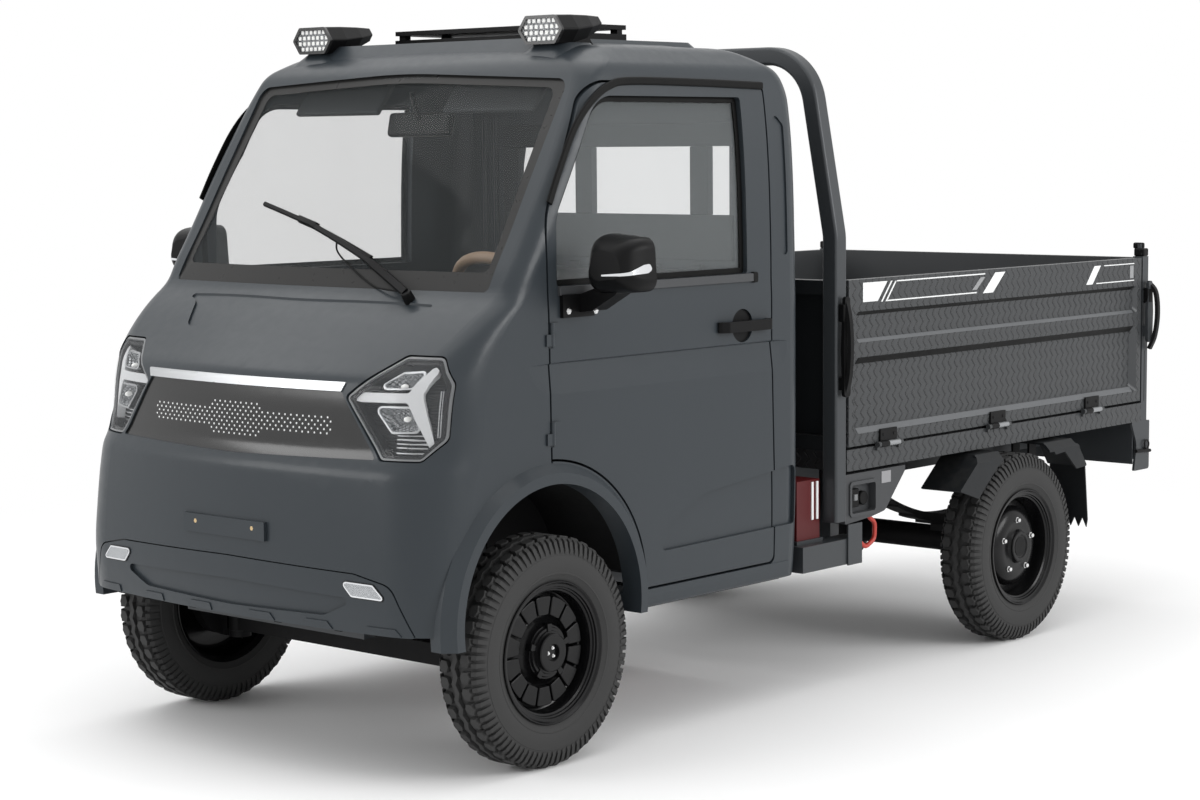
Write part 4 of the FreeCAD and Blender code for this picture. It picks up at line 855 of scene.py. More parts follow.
    @staticmethod
    def lathe(name: str, profile: Edge, finish: Finish, segments: int = 64, closed: bool = True,
              angle: float = SHARP) -> Piece:
        """Solid turned about the X-axis.

        Args:
            name: the piece's name.
            profile: (x, radius) points.
            finish: the piece's finish.
            segments: steps of one turn.
            closed: whether the profile returns to its start.
            angle: degrees up to which edges are smooth.

        Returns:
            The new piece.
        """
        points = [Vector((x, r * cos(tau * k / segments), r * sin(tau * k / segments)))
                  for k in range(segments) for x, r in profile]
        faces = Make.bands(segments, len(profile), True, closed)
        return Make.from_data(name, points, faces, finish, angle)

    @staticmethod
    def turned(name: str, profile: Edge, finish: Finish, segments: int, spot: Vector, way: Vector,
               angle: float = SHARP) -> Piece:
        """Turned part that stands on a surface.

        Args:
            name: the piece's name.
            profile: (height, radius) points; both ends are drawn to the axis.
            finish: the piece's finish.
            segments: steps of one turn.
            spot: where its foot stands.
            way: direction that it points in.
            angle: degrees up to which edges are smooth.

        Returns:
            The new piece.
        """
        whole = [(profile[0][0], ON_AXIS), *profile, (profile[-1][0], ON_AXIS)]
        made = Make.lathe(name, whole, finish, segments, angle=angle)
        made.matrix_world = Matrix.Translation(spot) @ AXIS_X.rotation_difference(way).to_matrix().to_4x4()
        return made

    @staticmethod
    def sweep(name: str, path: Sequence[Vector], section: Edge, finish: Finish,
              closed: bool = False, up: Optional[Vector] = None) -> Piece:
        """Section carried along a path.

        Args:
            name: the piece's name.
            path: points of the path.
            section: (side, up) points of the section.
            finish: the piece's finish.
            closed: whether the path returns to its start.
            up: fixed upward direction, or None to carry the frame along.

        Returns:
            The new piece.
        """
        count, sides = len(path), len(section)
        points: list[Vector] = []
        lift = up or AXIS_Z
        for index in range(count):
            before = path[index - 1] if closed or index else path[index]
            after = path[(index + 1) % count] if closed or index < count - 1 else path[index]
            ahead = (after - before).normalized()
            if up is None and abs(ahead.dot(lift)) > 0.95 and index == 0:
                lift = AXIS_X
            side = ahead.cross(lift).normalized()
            raised = side.cross(ahead).normalized()
            if up is None:
                lift = raised
            points += [path[index] + side * a + raised * b for a, b in section]
        faces = Make.bands(count, sides, closed)
        if not closed:
            faces += [tuple(range(sides)), tuple((count - 1) * sides + k for k in reversed(range(sides)))]
        return Make.from_data(name, points, faces, finish)

    @staticmethod
    def circle(radius: float, sides: int = 12, rise: float = 0.0) -> list[Pair]:
        """Round section, or an oval one whose second radius is given as its rise."""
        return [(radius * cos(tau * k / sides), (rise or radius) * sin(tau * k / sides))
                for k in range(sides)]

    @staticmethod
    def curved(points: Sequence[Sequence[float]], parts: int = 8) -> list[Vector]:
        """Smooth path through points, by Catmull-Rom pieces.

        Args:
            points: points that it runs through.
            parts: steps between two of them.

        Returns:
            The path.
        """
        known = [Vector(point) for point in points]
        known = [known[0] * 2 - known[1]] + known + [known[-1] * 2 - known[-2]]
        path: list[Vector] = []
        for index in range(1, len(known) - 2):
            a, b, c, d = known[index - 1:index + 3]
            for part in range(parts):
                t = part / parts
                path.append(0.5 * (2 * b + (c - a) * t + (2 * a - 5 * b + 4 * c - d) * t * t
                                   + (3 * b - a - 3 * c + d) * t ** 3))
        return path + [known[-2]]

    @staticmethod
    def bolt(name: str, spot: Vector, way: Vector, radius: float, height: float, finish: Finish) -> Piece:
        """Hexagon head with a chamfer and a washer, standing at a spot and pointing along a way.

        Args:
            name: the piece's name.
            spot: where it stands.
            way: where it points.
            radius: from the middle to a corner of the head.
            height: of the head.
            finish: its surface.

        Returns:
            The bolt.
        """
        profile = [(0.0, radius * 1.35), (height * 0.2, radius * 1.35), (height * 0.22, radius),
                   (height * 0.85, radius), (height, radius * 0.82)]
        return Make.turned(name, profile, finish, 6, spot, way, 20.0)


FRONT_START, SIDE_START = 3.0, 2.0  # distances from the middle at which rays toward the truck start
MISSED = 1.5  # how far along a ray that misses the nearest point is looked for


class Skin:
    """Outer surface of some CAD nodes, for laying pieces on it."""

    def __init__(self, *nodes: str) -> None:
        """Gathers the nodes' faces in one search tree.

        Args:
            nodes: names of the CAD nodes.
        """
        points: list[Vector] = []
        faces: list[tuple[int, ...]] = []
        for name in nodes:
            mesh = frame["nodes"][name].data
            base = len(points)
            points += [vert.co.copy() for vert in mesh.vertices]
            faces += [tuple(base + index for index in face.vertices) for face in mesh.polygons]
        self.tree = BVHTree.FromPolygons(points, faces)

    def hit(self, start: Vector, way: Vector, lift: float) -> Vector:
        """Point where a ray meets the surface, or the nearest one where it misses.

        Args:
            start: the ray's start.
            way: its direction.
            lift: distance off the surface.

        Returns:
            The point, raised by the lift.
        """
        spot, normal, _, _ = self.tree.ray_cast(start, way)
        if spot is None:
            spot, normal, _, _ = self.tree.find_nearest(start + way * MISSED)
        if normal.dot(way) > 0:
            normal = -normal
        return spot + normal * lift

    def front(self, x: float, z: float, lift: float) -> Vector:
        """Point on the front face at (x, z)."""
        return self.hit(Vector((x, -FRONT_START, z)), AXIS_Y, lift)

    def left(self, y: float, z: float, lift: float) -> Vector:
        """Point on the left face at (y, z)."""
        return self.hit(Vector((SIDE_START, y, z)), -AXIS_X, lift)


def dress(piece: Piece, body: str, slot: str) -> Piece:
    """Makes a piece ride on a body.

    Args:
        piece: the piece.
        body: CAD body that it rides on.
        slot: not used.

    Returns:
        The same piece.
    """
    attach(piece, body)
    return piece


def flat(origin: Sequence[float], along: Sequence[float], up: Sequence[float], out: Sequence[float]) -> Place:
    """Placing on a plane.

    Args:
        origin: point of the plane.
        along: direction of u.
        up: direction of v.
        out: direction of the lift.

    Returns:
        The placing.
    """
    def place(u: float, v: float, lift: float) -> Vector:
        """Point at (u, v), raised by the lift."""
        return Vector([o + u * a + v * b + lift * c for o, a, b, c in zip(origin, along, up, out)])
    return place


@dataclass
class Studio:
    """White room with soft lights, and the camera at the photo's viewing angle."""

    camera_place: Triple = (4.768, -5.727, 1.51)
    azimuth: float = 41.286
    pitch: float = 5.714
    roll: float = -0.482
    lens: float = 76.36
    ambient: float = 0.8
    fade_reach: Pair = (2.2, 4.2)
    floor_reach: float = 30.0
    aim: Triple = (0.0, 0.0, 0.8)
    lights: tuple[tuple[str, Triple, float, float, float], ...] = (  # name, place, width, height, power
        ("top_light", (-0.5, -0.5, 5.2), 6.0, 7.0, 170.0),
        ("front_light", (-3.5, -7.0, 3.2), 4.5, 2.5, 150.0),
        ("side_light", (7.0, 2.0, 3.4), 5.0, 2.4, 260.0))

    def floor(self) -> None:
        """Pale plain floor, not part of the truck."""
        finish = Finish("studio_floor", (0.9, 0.9, 0.9), 0.75, drift=0.01, grain_scale=40,
                        grain_depth=0.00002)
        reach = self.floor_reach
        corners = [Vector((u, v, 0)) for u, v in Outline.plate(-reach, -reach, reach, reach)]
        Make.from_data("floor", corners, [(0, 1, 2, 3)], finish)
        self.fade(finish.material().node_tree)

    def fade(self, tree: Tree) -> None:
        """Lets the floor pass into the white surroundings away from the truck.

        Args:
            tree: nodes of the floor's material.
        """
        pen = GraphPen(tree)
        reach = pen.node("ShaderNodeVectorMath", operation="LENGTH")
        pen.feed(reach.inputs[0], pen.node("ShaderNodeTexCoord").outputs["Object"])
        seen = pen.math("MULTIPLY", pen.band(reach.outputs["Value"], *self.fade_reach), self.seen_rays(pen))
        self.mixed(pen, seen, tree.nodes["Principled BSDF"], pen.node("ShaderNodeEmission"),
                   tree.nodes["Material Output"])

    @staticmethod
    def mixed(pen: GraphPen, factor: Socket, first: Node, second: Node, target: Node) -> None:
        """Blends two shaders into an output.

        Args:
            pen: pen of the tree.
            factor: share of the second one.
            first: shader at 0.
            second: shader at 1.
            target: output node.
        """
        blend = pen.node("ShaderNodeMixShader")
        for socket, value in zip(blend.inputs, (factor, first.outputs[0], second.outputs[0])):
            pen.feed(socket, value)
        pen.feed(target.inputs[0], blend.outputs[0])

    @staticmethod
    def seen_rays(pen: GraphPen) -> Socket:
        """1 for rays that show the surroundings, 0 for rays that light the truck.

        Args:
            pen: the world's pen.

        Returns:
            The switch's socket.
        """
        rays = pen.node("ShaderNodeLightPath")
        seen = pen.math("MAXIMUM", rays.outputs["Is Camera Ray"], rays.outputs["Is Transmission Ray"])
        return pen.math("MAXIMUM", seen, rays.outputs["Is Glossy Ray"])

    def world(self) -> None:
        """White to the camera and in reflections, softer as a light on the truck."""
        world = bpy.context.scene.world = bpy.data.worlds.new("studio")
        world.use_nodes = True
        world.node_tree.nodes.clear()
        pen = GraphPen(world.node_tree)
        backs = [pen.node("ShaderNodeBackground") for _ in range(2)]
        for back, strength in zip(backs, (self.ambient, 1.0)):
            pen.feed(back.inputs["Color"], WHITE)
            pen.feed(back.inputs["Strength"], strength)
        self.mixed(pen, self.seen_rays(pen), *backs, pen.node("ShaderNodeOutputWorld"))

    def softbox(self, name: str, place: Triple, width: float, height: float, power: float) -> None:
        """Rectangular area light pointed at the truck.

        Args:
            name: the light's name.
            place: where it hangs.
            width: of its face.
            height: of its face.
            power: in watts.
        """
        data = bpy.data.lights.new(name, "AREA")
        data.shape, data.size, data.size_y, data.energy = "RECTANGLE", width, height, power
        lamp = Make.linked(name, data)
        lamp.location = place
        lamp.rotation_euler = (Vector(self.aim) - Vector(place)).to_track_quat("-Z", "Y").to_euler()

    def camera(self) -> None:
        """Camera turned by azimuth, pitch and roll."""
        azimuth, pitch, roll = (math.radians(angle) for angle in (self.azimuth, self.pitch, self.roll))
        ahead = Vector((-sin(azimuth) * cos(pitch), cos(azimuth) * cos(pitch),
                        -sin(pitch)))
        right = Vector((cos(azimuth), sin(azimuth), 0))
        up = right.cross(ahead)
        turned_right = right * cos(roll) + up * sin(roll)
        turned_up = up * cos(roll) - right * sin(roll)
        data = bpy.data.cameras.new("camera")
        data.lens, data.sensor_width = self.lens, 36.0
        camera = bpy.context.scene.camera = Make.linked("camera", data)
        axes = Matrix((turned_right, turned_up, -ahead)).transposed().to_4x4()
        camera.matrix_world = Matrix.Translation(Vector(self.camera_place)) @ axes

    def build(self) -> None:
        """Sets up floor, world, lights and camera."""
        bpy.context.scene.view_settings.view_transform = "Standard"
        self.floor()
        self.world()
        for light in self.lights:
            self.softbox(*light)
        self.camera()


@dataclass
class Bodywork:
    """Finishes of the shapes that come straight from the frame; the rest are black mouldings."""

    finishes: tuple[tuple[Finish, str], ...] = (
        (Look.PAINT, "cab_nose cab_side_left cab_side_right cab_roof cab_rear_wall front_bumper "
                     "plate_bracket door_left door_right"),
        (Look.CABIN, "cab_floor dashboard seat_base"),
        (Look.PANE, "windshield rear_window"),
        # door glass: pale grey as painted reflection
        (Look.SIDE_PANE_PAINTED_REFLECTION, "door_glass_left door_glass_right"),
        (Look.GLOSS, "grille_panel"),
        (Look.BRUSHED, "trim_strip"),
        (Look.LAMP_DARK, "fog_lamps headlamps"),
        (Look.FRAME, "chassis_frame roll_bar rear_posts tail_lamps"),
        (Look.BED, "bed_floor side_board_left side_board_right tailgate"),
        (Look.BED_PLAIN, "headboard mudguards"),
        (Look.UNDER, "rear_axle leaf_springs front_axle wheel_liners knuckle_left knuckle_right"),
        # battery box and red unit: red darkened as painted shade
        (Look.RED_CASE_PAINTED_SHADE, "battery_box red_unit"),
        (Look.GREY_PLASTIC, "socket_box"),
        (Look.RED, "red_cable"))

    def build(self) -> None:
        """Gives every node of the frame its finish."""
        chosen = {name: finish for finish, names in self.finishes for name in names.split()}
        for name, node in frame["nodes"].items():
            node.data.materials.clear()
            node.data.materials.append(chosen.get(name, Look.PLASTIC).material())


@dataclass
class Wheels:
    """Ribbed tyres on black disc wheels, one mesh each for tyre, front rim and rear rim."""

    half: float = 0.0675
    tread: Pair = (0.27, 0.2847)
    pitches: int = 44
    vanes: int = 14
    arms: int = 5
    screws: int = 3
    nuts: int = 5
    barrel: tuple[Pair, ...] = (
        (0.012, 0.1465), (0.02, 0.1475), (0.034, 0.149), (0.045, 0.151), (0.048, 0.1555), (0.052, 0.157),
        (0.053, 0.1605), (0.0575, 0.162), (0.0585, 0.168), (0.0615, 0.1705), (0.0635, 0.172), (0.064, 0.1745),
        (0.062, 0.1762), (0.058, 0.1755), (0.055, 0.17), (0.048, 0.166), (-0.048, 0.166), (-0.055, 0.17),
        (-0.058, 0.1755), (-0.062, 0.1762), (-0.064, 0.1745), (-0.0615, 0.1705), (-0.052, 0.16),
        (-0.02, 0.158), (-0.004, 0.15), (0.002, 0.145), (0.006, 0.135), (0.006, 0.055), (-0.024, 0.05),
        (-0.024, 0.0175))

    def around(self, x: float, turn: float, r: float) -> Vector:
        """Point at a turn (in pitches) and radius about the X-axis."""
        angle = tau * turn / self.pitches
        return Vector((x, r * sin(angle), r * cos(angle)))

    def carcass(self) -> list[Pair]:
        """Cross-section of the tyre under its tread, as (x, radius) points.

        Returns:
            The closed section, from the middle of the crown round to it.
        """
        side = [(0.03, 0.2735), (0.046, 0.2715), (0.056, 0.264), (0.0625, 0.252), (0.0652, 0.24),
                (0.0652, 0.2385), (0.0662, 0.2375), (self.half, 0.222), (0.0668, 0.206), (0.0648, 0.197),
                (0.0656, 0.1955), (0.0656, 0.1935), (0.064, 0.192), (0.0606, 0.183), (0.0577, 0.1772),
                (0.056, 0.173), (0.05, 0.169), (0.044, 0.168)]
        return [(0.0, 0.274)] + side + [(0.0, 0.178)] + [(-x, r) for x, r in reversed(side)]

    def lugs(self) -> tuple[list[Vector], list[Sequence[int]]]:
        """Pointed six-sided blocks, the shoulder teeth and the zig-zag rib.

        Returns:
            Their points and faces.
        """
        points: list[Vector] = []
        faces: list[Sequence[int]] = []

        def prism(foot: list[Vector], head: list[Vector]) -> None:
            """Adds a closed block between two loops.

            Args:
                foot: points of its foot.
                head: as many points of its head.
            """
            base, count = len(points), len(foot)
            points.extend(foot + head)
            faces.append([base + i for i in range(count)])
            faces.append([base + count + i for i in reversed(range(count))])
            for i in range(count):
                j = (i + 1) % count
                faces.append([base + i, base + count + i, base + count + j, base + j])

        block = [(0.0175, 0.5), (0.0235, 0.13), (0.043, 0.1), (0.049, 0.5), (0.043, 0.9), (0.0235, 0.87)]
        tooth = [(0.051, 0.268), (0.0508, 0.2798), (0.0602, 0.2712), (0.0669, 0.25), (0.066, 0.242),
                 (0.062, 0.246)]
        low, high = self.tread
        middle, taper = 0.034, 0.9
        for index in range(self.pitches):
            for side, _ in SIDES:
                shift = index + (0.5 if side < 0 else 0.0)
                head = [(middle + (x - middle) * taper, 0.5 + (t - 0.5) * taper) for x, t in block]
                prism([self.around(side * x, shift + t, low) for x, t in block],
                      [self.around(side * x, shift + t, high) for x, t in head])
        for index in range(2 * self.pitches):
            for side, _ in SIDES:
                prism(*([self.around(side * x, (index + t) / 2, r) for x, r in tooth] for t in (0.22, 0.78)))
        first, steps = len(points), 2 * self.pitches
        rib = ((-0.0085, low), (-0.007, high), (0.007, high), (0.0085, low))
        points += [self.around((0.0042 if index % 2 else -0.0042) + x, index / 2, r)
                   for index in range(steps) for x, r in rib]
        return points, faces + Make.bands(steps, len(rib), True, first=first)

    def tyre(self) -> Piece:
        """Tyre about the X-axis at the origin.

        Returns:
            The tyre, with its tread.
        """
        points, faces = self.lugs()
        tread = Make.from_data("tread", points, faces, Look.TYRE, 28)
        body = Make.lathe("carcass", self.carcass(), Look.TYRE, 132, angle=28)
        return Make.joined("tyre", [body, tread])

    @staticmethod
    def polar(turn: float, base: float) -> Place:
        """Placing on the wheel's face at a turn: u across, v outward."""
        sine, cosine = sin(tau * turn), cos(tau * turn)
        return flat((base, 0, 0), (0, cosine, -sine), (0, sine, cosine), AXIS_X)

    def disc(self, name: str, face: Edge) -> Piece:
        """Turned disc and barrel of a wheel, from the face's (x, radius) points."""
        profile = [(face[0][0], ON_AXIS), *face, *self.barrel, (0.03, 0.0175), (0.03, ON_AXIS)]
        return Make.lathe(name, profile, Look.RIM, 96, closed=False)

    @staticmethod
    def ring_of_bolts(count: int, start: float, x: float, reach: float, radius: float,
                      height: float) -> list[Piece]:
        """Chrome heads round the axle.

        Args:
            count: how many.
            start: turn of the first one.
            x: where their feet stand.
            reach: distance from the axle.
            radius: of each head.
            height: of each head.

        Returns:
            The heads.
        """
        spots = [Vector((x, reach * sin(a), reach * cos(a)))
                 for a in (tau * (index / count + start) for index in range(count))]
        return [Make.bolt("nut", spot, AXIS_X, radius, height, Look.NUT) for spot in spots]

    def front_rim(self) -> Piece:
        """Disc wheel with a ring of bulged vanes and a stepped hub with a recessed cap.

        Returns:
            The rim, without its tyre.
        """
        hub = [(0.052, 0.02), (0.0595, 0.0212), (0.0605, 0.0225), (0.0605, 0.044), (0.0585, 0.0465),
               (0.05, 0.0475), (0.05, 0.052), (0.046, 0.0535), (0.046, 0.06), (0.04, 0.0625), (0.04, 0.066),
               (0.03, 0.068), (0.022, 0.074), (0.015, 0.08), (0.013, 0.084), (0.013, 0.137), (0.01, 0.142)]
        vane = Outline.rounded([(-0.0172, 0.088, 0.003), (0.0172, 0.088, 0.003), (0.0277, 0.1335, 0.006),
                                (0.0, 0.1368, 0.2), (-0.0277, 0.1335, 0.006)], 4)
        arm = Outline.rounded([(-0.006, 0.046, 0.001), (0.006, 0.046, 0.001), (0.0085, 0.07, 0.003),
                               (-0.0085, 0.07, 0.003)], 3)
        pieces = [self.disc("disc", hub)]
        pieces += [Make.slab("vane", vane, self.polar(index / self.vanes, 0.012), 0.0, 0.0175, Look.RIM,
                             bevel=0.006) for index in range(self.vanes)]
        pieces += [Make.slab("arm", arm, self.polar(index / self.arms, 0.04), -0.012, 0.009, Look.RIM,
                             bevel=0.002) for index in range(self.arms)]
        pieces += self.ring_of_bolts(self.screws, 0.07, 0.052, 0.0115, 0.0036, 0.004)
        return Make.joined("front_rim", pieces)

    def rear_rim(self) -> Piece:
        """Domed disc wheel with chrome nuts and a flat centre cap.

        Returns:
            The rim, without its tyre.
        """
        dome = [(0.049, 0.0335), (0.0505, 0.0345), (0.052, 0.036), (0.052, 0.044), (0.05, 0.0462),
                (0.044, 0.047), (0.038, 0.052), (0.0365, 0.062), (0.038, 0.073), (0.037, 0.086),
                (0.034, 0.098), (0.029, 0.108), (0.022, 0.116), (0.01, 0.1215), (-0.002, 0.124),
                (-0.002, 0.144)]
        cap = Outline.plate(-0.03, -0.03, 0.03, 0.03, 0.03, 8)
        pieces = [self.disc("dome", dome), Make.slab("cap", cap, self.polar(0.0, 0.049), -0.001, 0.0012,
                                                     Look.PLASTIC, bevel=0.0005)]
        pieces += self.ring_of_bolts(self.nuts, 0.0, 0.0365, 0.08, 0.0072, 0.011)
        return Make.joined("rear_rim", pieces)

    def build(self) -> None:
        """Places the wheels on their hubs; both sides share one mesh, turned round for the right one."""
        masters = {"tyre": self.tyre(), "rim_front": self.front_rim(), "rim_rear": self.rear_rim()}
        for end in ("front", "rear"):
            for side, name in SIDES:
                low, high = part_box(f"tyre_{end}_{name}")
                turn = Matrix.Rotation(0.0 if side == LEFT else math.pi, 4, "Z")
                for part, master, slot in (("tyre", "tyre", "tyre_rubber"),
                                           ("rim", f"rim_{end}", "wheel_steel")):
                    piece = Make.linked(f"{part}_{end}_{name}_fine", masters[master].data)
                    piece.matrix_world = Matrix.Translation((low + high) / 2) @ turn
                    dress(piece, f"wheel_{end}_{name}", slot)
                    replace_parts(piece, f"{part}_{end}_{name}")
        for master in masters.values():
            bpy.data.objects.remove(master)


@dataclass
class Headlamps:
    """Six-sided lamps: housing, two dished reflectors, a Y-shaped light bar and a clear lens."""

    outline: Corners = (
        (0.366, 0.923, 0.012), (0.488, 1.021, 0.026), (0.588, 1.021, 0.022), (0.624, 0.96, 0.03),
        (0.622, 0.83, 0.03), (0.58, 0.78, 0.016), (0.48, 0.78, 0.016))
    bar: tuple[Pair, ...] = (
        (0.3857, 0.9168), (0.3928, 0.932), (0.4036, 0.9371), (0.529, 0.9395), (0.5342, 0.9433),
        (0.5652, 1.002), (0.5726, 1.004), (0.5829, 0.997), (0.5841, 0.9891), (0.5679, 0.9385),
        (0.5695, 0.9238), (0.5998, 0.8158), (0.5995, 0.8112), (0.5927, 0.8085), (0.5897, 0.8113),
        (0.5344, 0.912), (0.5281, 0.9164), (0.4001, 0.9137))
    upper: tuple[Pair, ...] = ((0.447, 0.95), (0.493, 0.99), (0.556, 0.994), (0.536, 0.953))
    lower: tuple[Pair, ...] = ((0.444, 0.902), (0.538, 0.904), (0.566, 0.85), (0.494, 0.847))
    bulbs: tuple[Pair, ...] = ((0.507, 0.972), (0.5312, 0.8777))
    ribs: int = 5
    steps: int = 6

    @staticmethod
    def dish(name: str, outline: Edge, place: Place, rim: float, depth: float) -> Piece:
        """Reflector that deepens toward its middle.

        Args:
            name: the piece's name.
            outline: its edge.
            place: maps (u, v, lift) to a point in space.
            rim: lift of its edge.
            depth: of its middle.

        Returns:
            The new piece.
        """
        centre = Vector((sum(p[0] for p in outline), sum(p[1] for p in outline))) / len(outline)
        rings, count = 7, len(outline)
        points: list[Vector] = []
        for ring in range(rings):
            scale = 1 - ring / rings
            for point in outline:
                spot = centre.lerp(Vector(point), scale)
                points.append(place(spot.x, spot.y, rim - depth * (1 - scale ** 2.4)))
        points.append(place(centre.x, centre.y, rim - depth))
        last = (rings - 1) * count
        fan = [(last + i, last + (i + 1) % count, rings * count) for i in range(count)]
        return Make.from_data(name, points, Make.bands(rings, count) + fan, Look.REFLECTOR, 60)

    def side_lamp(self, side: int, name: str, skin: Skin) -> Piece:
        """One lamp and its lens.

        Args:
            side: LEFT or RIGHT.
            name: the side's name.
            skin: front of the lamps.

        Returns:
            The lamp without its lens.
        """
        def on(points: Edge) -> list[Pair]:
            """Outline on this lamp's side."""
            return Outline.mirrored(points, side)

        def slab(label: str, points: Edge, low: float, high: float, finish: Finish,
                 step: float = 0.02, bevel: float = 0.0) -> Piece:
            """Plate in this lamp."""
            return Make.slab(label, on(points), skin.front, low, high, finish, step, bevel)

        def ring(label: str, outer: Edge, inner: Edge, low: float, high: float, finish: Finish) -> Piece:
            """Band in this lamp."""
            return Make.ring(label, on(outer), on(inner), skin.front, low, high, finish)

        edge = Outline.inset(Outline.rounded(self.outline, 4), 0.0015)
        parts = [slab("back", edge, -0.06, -0.052, Look.LAMP_BACK),
                 ring("wall", edge, Outline.inset(edge, 0.003), -0.058, -0.004, Look.LAMP_DARK),
                 ring("bezel", edge, Outline.inset(edge, 0.0045), -0.006, -0.0008, Look.LAMP_EDGE),
                 ring("lip", Outline.inset(edge, 0.0046), Outline.inset(edge, 0.012), -0.016, -0.008,
                      Look.LAMP_DARK)]
        for label, shape, depth in (("upper", self.upper, 0.02), ("lower", self.lower, 0.024)):
            bowl = Outline.rounded([(u, v, 0.008) for u, v in shape], 4)
            parts += [self.dish(label, on(bowl), skin.front, -0.018, depth),
                      ring("frame", Outline.inset(bowl, -0.0045), bowl, -0.024, -0.015, Look.BRUSHED)]
        bar = Outline.rounded([(u, v, 0.003) for u, v in self.bar], 2)
        parts.append(slab("bar", bar, -0.034, -0.013, Look.LIGHT_BAR, bevel=0.0012))
        for x in (0.602 + index * 0.0042 for index in range(self.ribs)):
            rib = Outline.plate(x, 0.835, x + 0.0022, 0.945)
            parts.append(slab("rib", rib, -0.05, -0.018, Look.BRUSHED, 0.03))
        for z in (0.79 + index * 0.0095 for index in range(self.steps)):
            rib = Outline.plate(0.497, z, 0.583, z + 0.003)
            parts.append(slab("step", rib, -0.054, -0.034, Look.BRUSHED, 0.03))
        bulb = [(0.0, 0.005), (0.006, 0.0068), (0.012, 0.0066), (0.0165, 0.0045), (0.0185, 0.0015)]
        parts += [Make.turned("bulb", bulb, Look.LED, 20, skin.front(side * u, v, -0.036), -AXIS_Y)
                  for u, v in self.bulbs]
        lens = slab(f"headlamp_lens_{name}", Outline.inset(edge, 0.0045), -0.0035, -0.0005, Look.LENS)
        dress(lens, "truck", "lamp_glass")
        return Make.joined(f"headlamp_{name}", parts, "truck", "lamp_glass")

    def build(self) -> None:
        """Both lamps, in place of the plain ones."""
        skin = Skin("headlamps")
        for side, name in SIDES:
            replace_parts(self.side_lamp(side, name, skin), "headlamps")


@dataclass
class NoseTrim:
    """Grille dots, fog lamps, plate bolts and the small clips under the bumper."""

    column: float = 0.0195
    row: float = 0.0095
    rows: int = 9
    middle_z: float = 0.853
    dot: float = 0.0027
    fog: Corners = (
        (0.383, 0.495, 0.01), (0.489, 0.493, 0.01), (0.531, 0.453, 0.008), (0.421, 0.455, 0.012))
    bolt_x: float = 0.105
    bolt_z: float = 0.594

    def dots(self) -> None:
        """White dots in staggered rows, taller in the middle block."""
        skin = Skin("grille_panel")
        points: list[Vector] = []
        faces: list[Sequence[int]] = []
        for index in range(self.rows):
            level = index - self.rows // 2
            z = self.middle_z + level * self.row
            reach = 0.33 if abs(level) <= 2 else 0.092
            shift = self.column / 2 if index % 2 else 0.0
            count = math.floor((reach - shift) / self.column)
            for column in range(-count - (1 if shift else 0), count + 1):
                x, base = column * self.column + shift, len(points)
                for radius, lift in ((self.dot, 0.0), (0.6 * self.dot, 0.0012)):
                    points += [skin.front(x + u, z + v, lift) for u, v in Make.circle(radius, 8)]
                faces += Make.bands(2, 8, first=base) + [tuple(range(base + 8, base + 16))]
        dress(Make.from_data("grille_dots", points, faces, Look.STRIPE), "truck", "bright_trim")

    def fog_lamps(self) -> None:
        """Bright bezel and ribbed lens on each fog lamp."""
        skin = Skin("fog_lamps")
        edge = Outline.inset(Outline.rounded(self.fog, 4), 0.0022)
        for side, name in SIDES:
            outer = Outline.mirrored(edge, side)
            inner = Outline.mirrored(Outline.inset(edge, 0.0035), side)
            bezel = Make.ring("bezel", outer, inner, skin.front, -0.004, 0.0012, Look.BRIGHT, 0.02)
            lens = Make.slab("lens", inner, skin.front, -0.002, 0.0006, Look.FOG, step=0.02)
            Make.joined(f"fog_lamp_{name}", [bezel, lens], "truck", "lamp_glass")

    def bolts(self) -> None:
        """Two bolts on the number plate bracket."""
        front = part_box("plate_bracket")[0].y
        for side, name in SIDES:
            spot = Vector((side * self.bolt_x, front + 0.0035, self.bolt_z))
            bolt = Make.bolt(f"plate_bolt_{name}", spot, -AXIS_Y, 0.006, 0.004, Look.BRASS)
            dress(bolt, "truck", "bright_trim")

    def clips(self) -> None:
        """Push clips along the bumper's lower edge."""
        skin = Skin("front_bumper", "cab_nose")
        for side, name in SIDES:
            for index, x in enumerate((0.16, 0.36, 0.47)):
                spot = skin.front(side * x, 0.384, -0.01)
                piece = Make.block(f"bumper_clip_{index}_{name}", spot + Vector((-0.012, 0, -0.02)),
                                   spot + Vector((0.012, 0.012, -0.004)), Look.PLASTIC, 0.002)
                dress(piece, "truck", "black_plastic")

    def build(self) -> None:
        """All trim of the nose."""
        self.dots()
        self.fog_lamps()
        self.bolts()
        self.clips()


